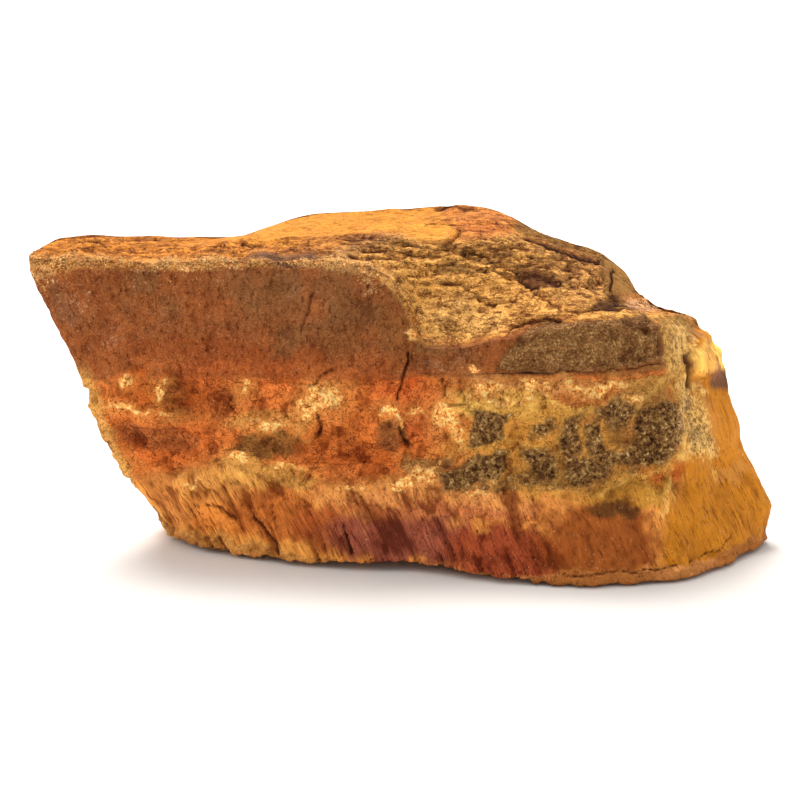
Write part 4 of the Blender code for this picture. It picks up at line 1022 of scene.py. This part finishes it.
# Painted shade along the foot of each small step.
step_foot_shade = contour(add("part", add("times", step_tone, step_count)), 0.68, 0.16)
colour = add("tint", add("times", step_foot_shade, add("times", fleck_in, 0.55)), colour, linear("7A4A30"))
# painted shade at the feet of the torn steps
colour = add("tint", add("times", shingle_shade_in, 0.6), colour, linear("6A3A1C"))
# painted shade in the cracks and undercuts
colour = add("tint", crack_shade_in, colour, linear("4A1C0E"))
colour = add("tint", golden_in, colour, (1.1, 1.19, 1.42, 1))
hollow_shade = add("ramp", shade_in, stops=[(0.15, "93705C"), (0.5, "F0ECE8"), (0.75, "FFFFFF")])
colour = add("tint", 0.85, colour, hollow_shade)
colour = add("tint", 1.0, colour, (1.5, 1.5, 1.5, 1))  # back to the broad colour's brightness

# The relief that is too fine for the mesh, up to half a millimetre high.
BUMP_HEIGHT = 0.0005
chip_share = add("times_plus", middle_in, 0.6, add("times", host_in, 0.5))
chip_share = add("mix", top_in, chip_share, add("mix", calm, 1.0, 0.25))
chip_share = add("times", chip_share, add("minus", 1.0, silky_in))
height = add("times_plus", tone, 1.2, add("times", speck, 0.5))
for form, amount in (
    (flecks, add("times", fleck_in, 0.45)),
    (big_chips, add("times", chip_share, 2.2)),
    (small_chips, add("times", chip_share, 1.0)),
    (iron_tone, add("times", add("most", granular_in, iron_in), 1.2)),
    (ledges(step_tone, step_count), add("times", fleck_in, 3.0)),
    (fine_cracks, -0.55),
    (crinkle, add("times", crack_share, add("mix", top_in, 2.2, 0.3))),
):
    height = add("times_plus", form, amount, height)
gloss = add("most", fibre_in, silky_in)

shader = tree.nodes["Principled BSDF"]
for name, value in {"Metallic": 0.0, "IOR": 1.5, "Specular IOR Level": 0.1}.items():
    shader.inputs[name].default_value = value
for socket, value in {
    "Base Color": colour,
    "Roughness": add("MapRange", {"Value": gloss, "To Min": 0.85, "To Max": 0.6}),
    "Normal": add("Bump", {"Height": height, "Strength": 1.0, "Distance": BUMP_HEIGHT}),
}.items():
    tree.links.new(value, shader.inputs[socket])
stone_mesh.materials.append(finish)

# ------------------------------------------------------------------------------------------------------
# The stand for looking at it: a plain pale floor, soft studio light and the camera.
# ------------------------------------------------------------------------------------------------------
FLOOR_HALF = 3.0  # metres
floor_mesh = bpy.data.meshes.new("pale_floor")
floor_corners = [(FLOOR_HALF * a, FLOOR_HALF * b, 0) for a, b in ((-1, -1), (1, -1), (1, 1), (-1, 1))]
floor_mesh.from_pydata(floor_corners, [], [(0, 1, 2, 3)])
floor = bpy.data.objects.new("pale_floor", floor_mesh)
bpy.context.scene.collection.objects.link(floor)
paper = bpy.data.materials.new("white_card")
paper.use_nodes = True
card = paper.node_tree.nodes["Principled BSDF"].inputs
for name, value in {"Base Color": (0.74, 0.71, 0.67, 1), "Roughness": 0.9, "Specular IOR Level": 0.1}.items():
    card[name].default_value = value
floor_mesh.materials.append(paper)
floor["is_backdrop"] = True


def softbox(name, place, aim, size, watts):
    """A square soft light at a place, facing a point."""
    lamp = bpy.data.lights.new(name, "AREA")
    lamp.size = size
    lamp.energy = watts
    made = bpy.data.objects.new(name, lamp)
    made.location = place
    away = np.array(place) - np.array(aim)
    made.rotation_euler = (np.arctan2(np.hypot(away[0], away[1]), away[2]), 0, np.arctan2(away[0], -away[1]))
    bpy.context.scene.collection.objects.link(made)
    return made


softbox("overhead", (-0.4, 0.95, 1.75), (0, 0, 0.03), 1.1, 64.0)
softbox("left_card", (-1.2, -0.3, 0.7), (0, 0, 0.02), 0.8, 3.6)

room = bpy.data.worlds.new("white_room")
room.use_nodes = True
room.node_tree.nodes["Background"].inputs["Color"].default_value = (1, 1, 1, 1)
room.node_tree.nodes["Background"].inputs["Strength"].default_value = 0.87
bpy.context.scene.world = room

VIEW_ELEVATION = np.radians(15.0)
VIEW_DISTANCE = 0.55  # metres, from the middle of the stone
VIEW_TARGET = (0.0, 0.0, 0.02357)
camera = bpy.data.objects.new("camera", bpy.data.cameras.new("camera"))
camera.data.lens = 153.45
camera.data.sensor_width = 36.0
camera.location = (
    VIEW_TARGET[0],
    VIEW_TARGET[1] - VIEW_DISTANCE * np.cos(VIEW_ELEVATION),
    VIEW_TARGET[2] + VIEW_DISTANCE * np.sin(VIEW_ELEVATION),
)
camera.rotation_euler = (np.pi / 2 - VIEW_ELEVATION, 0, 0)
bpy.context.scene.collection.objects.link(camera)
bpy.context.scene.camera = camera
bpy.context.scene.view_settings.view_transform = "Standard"
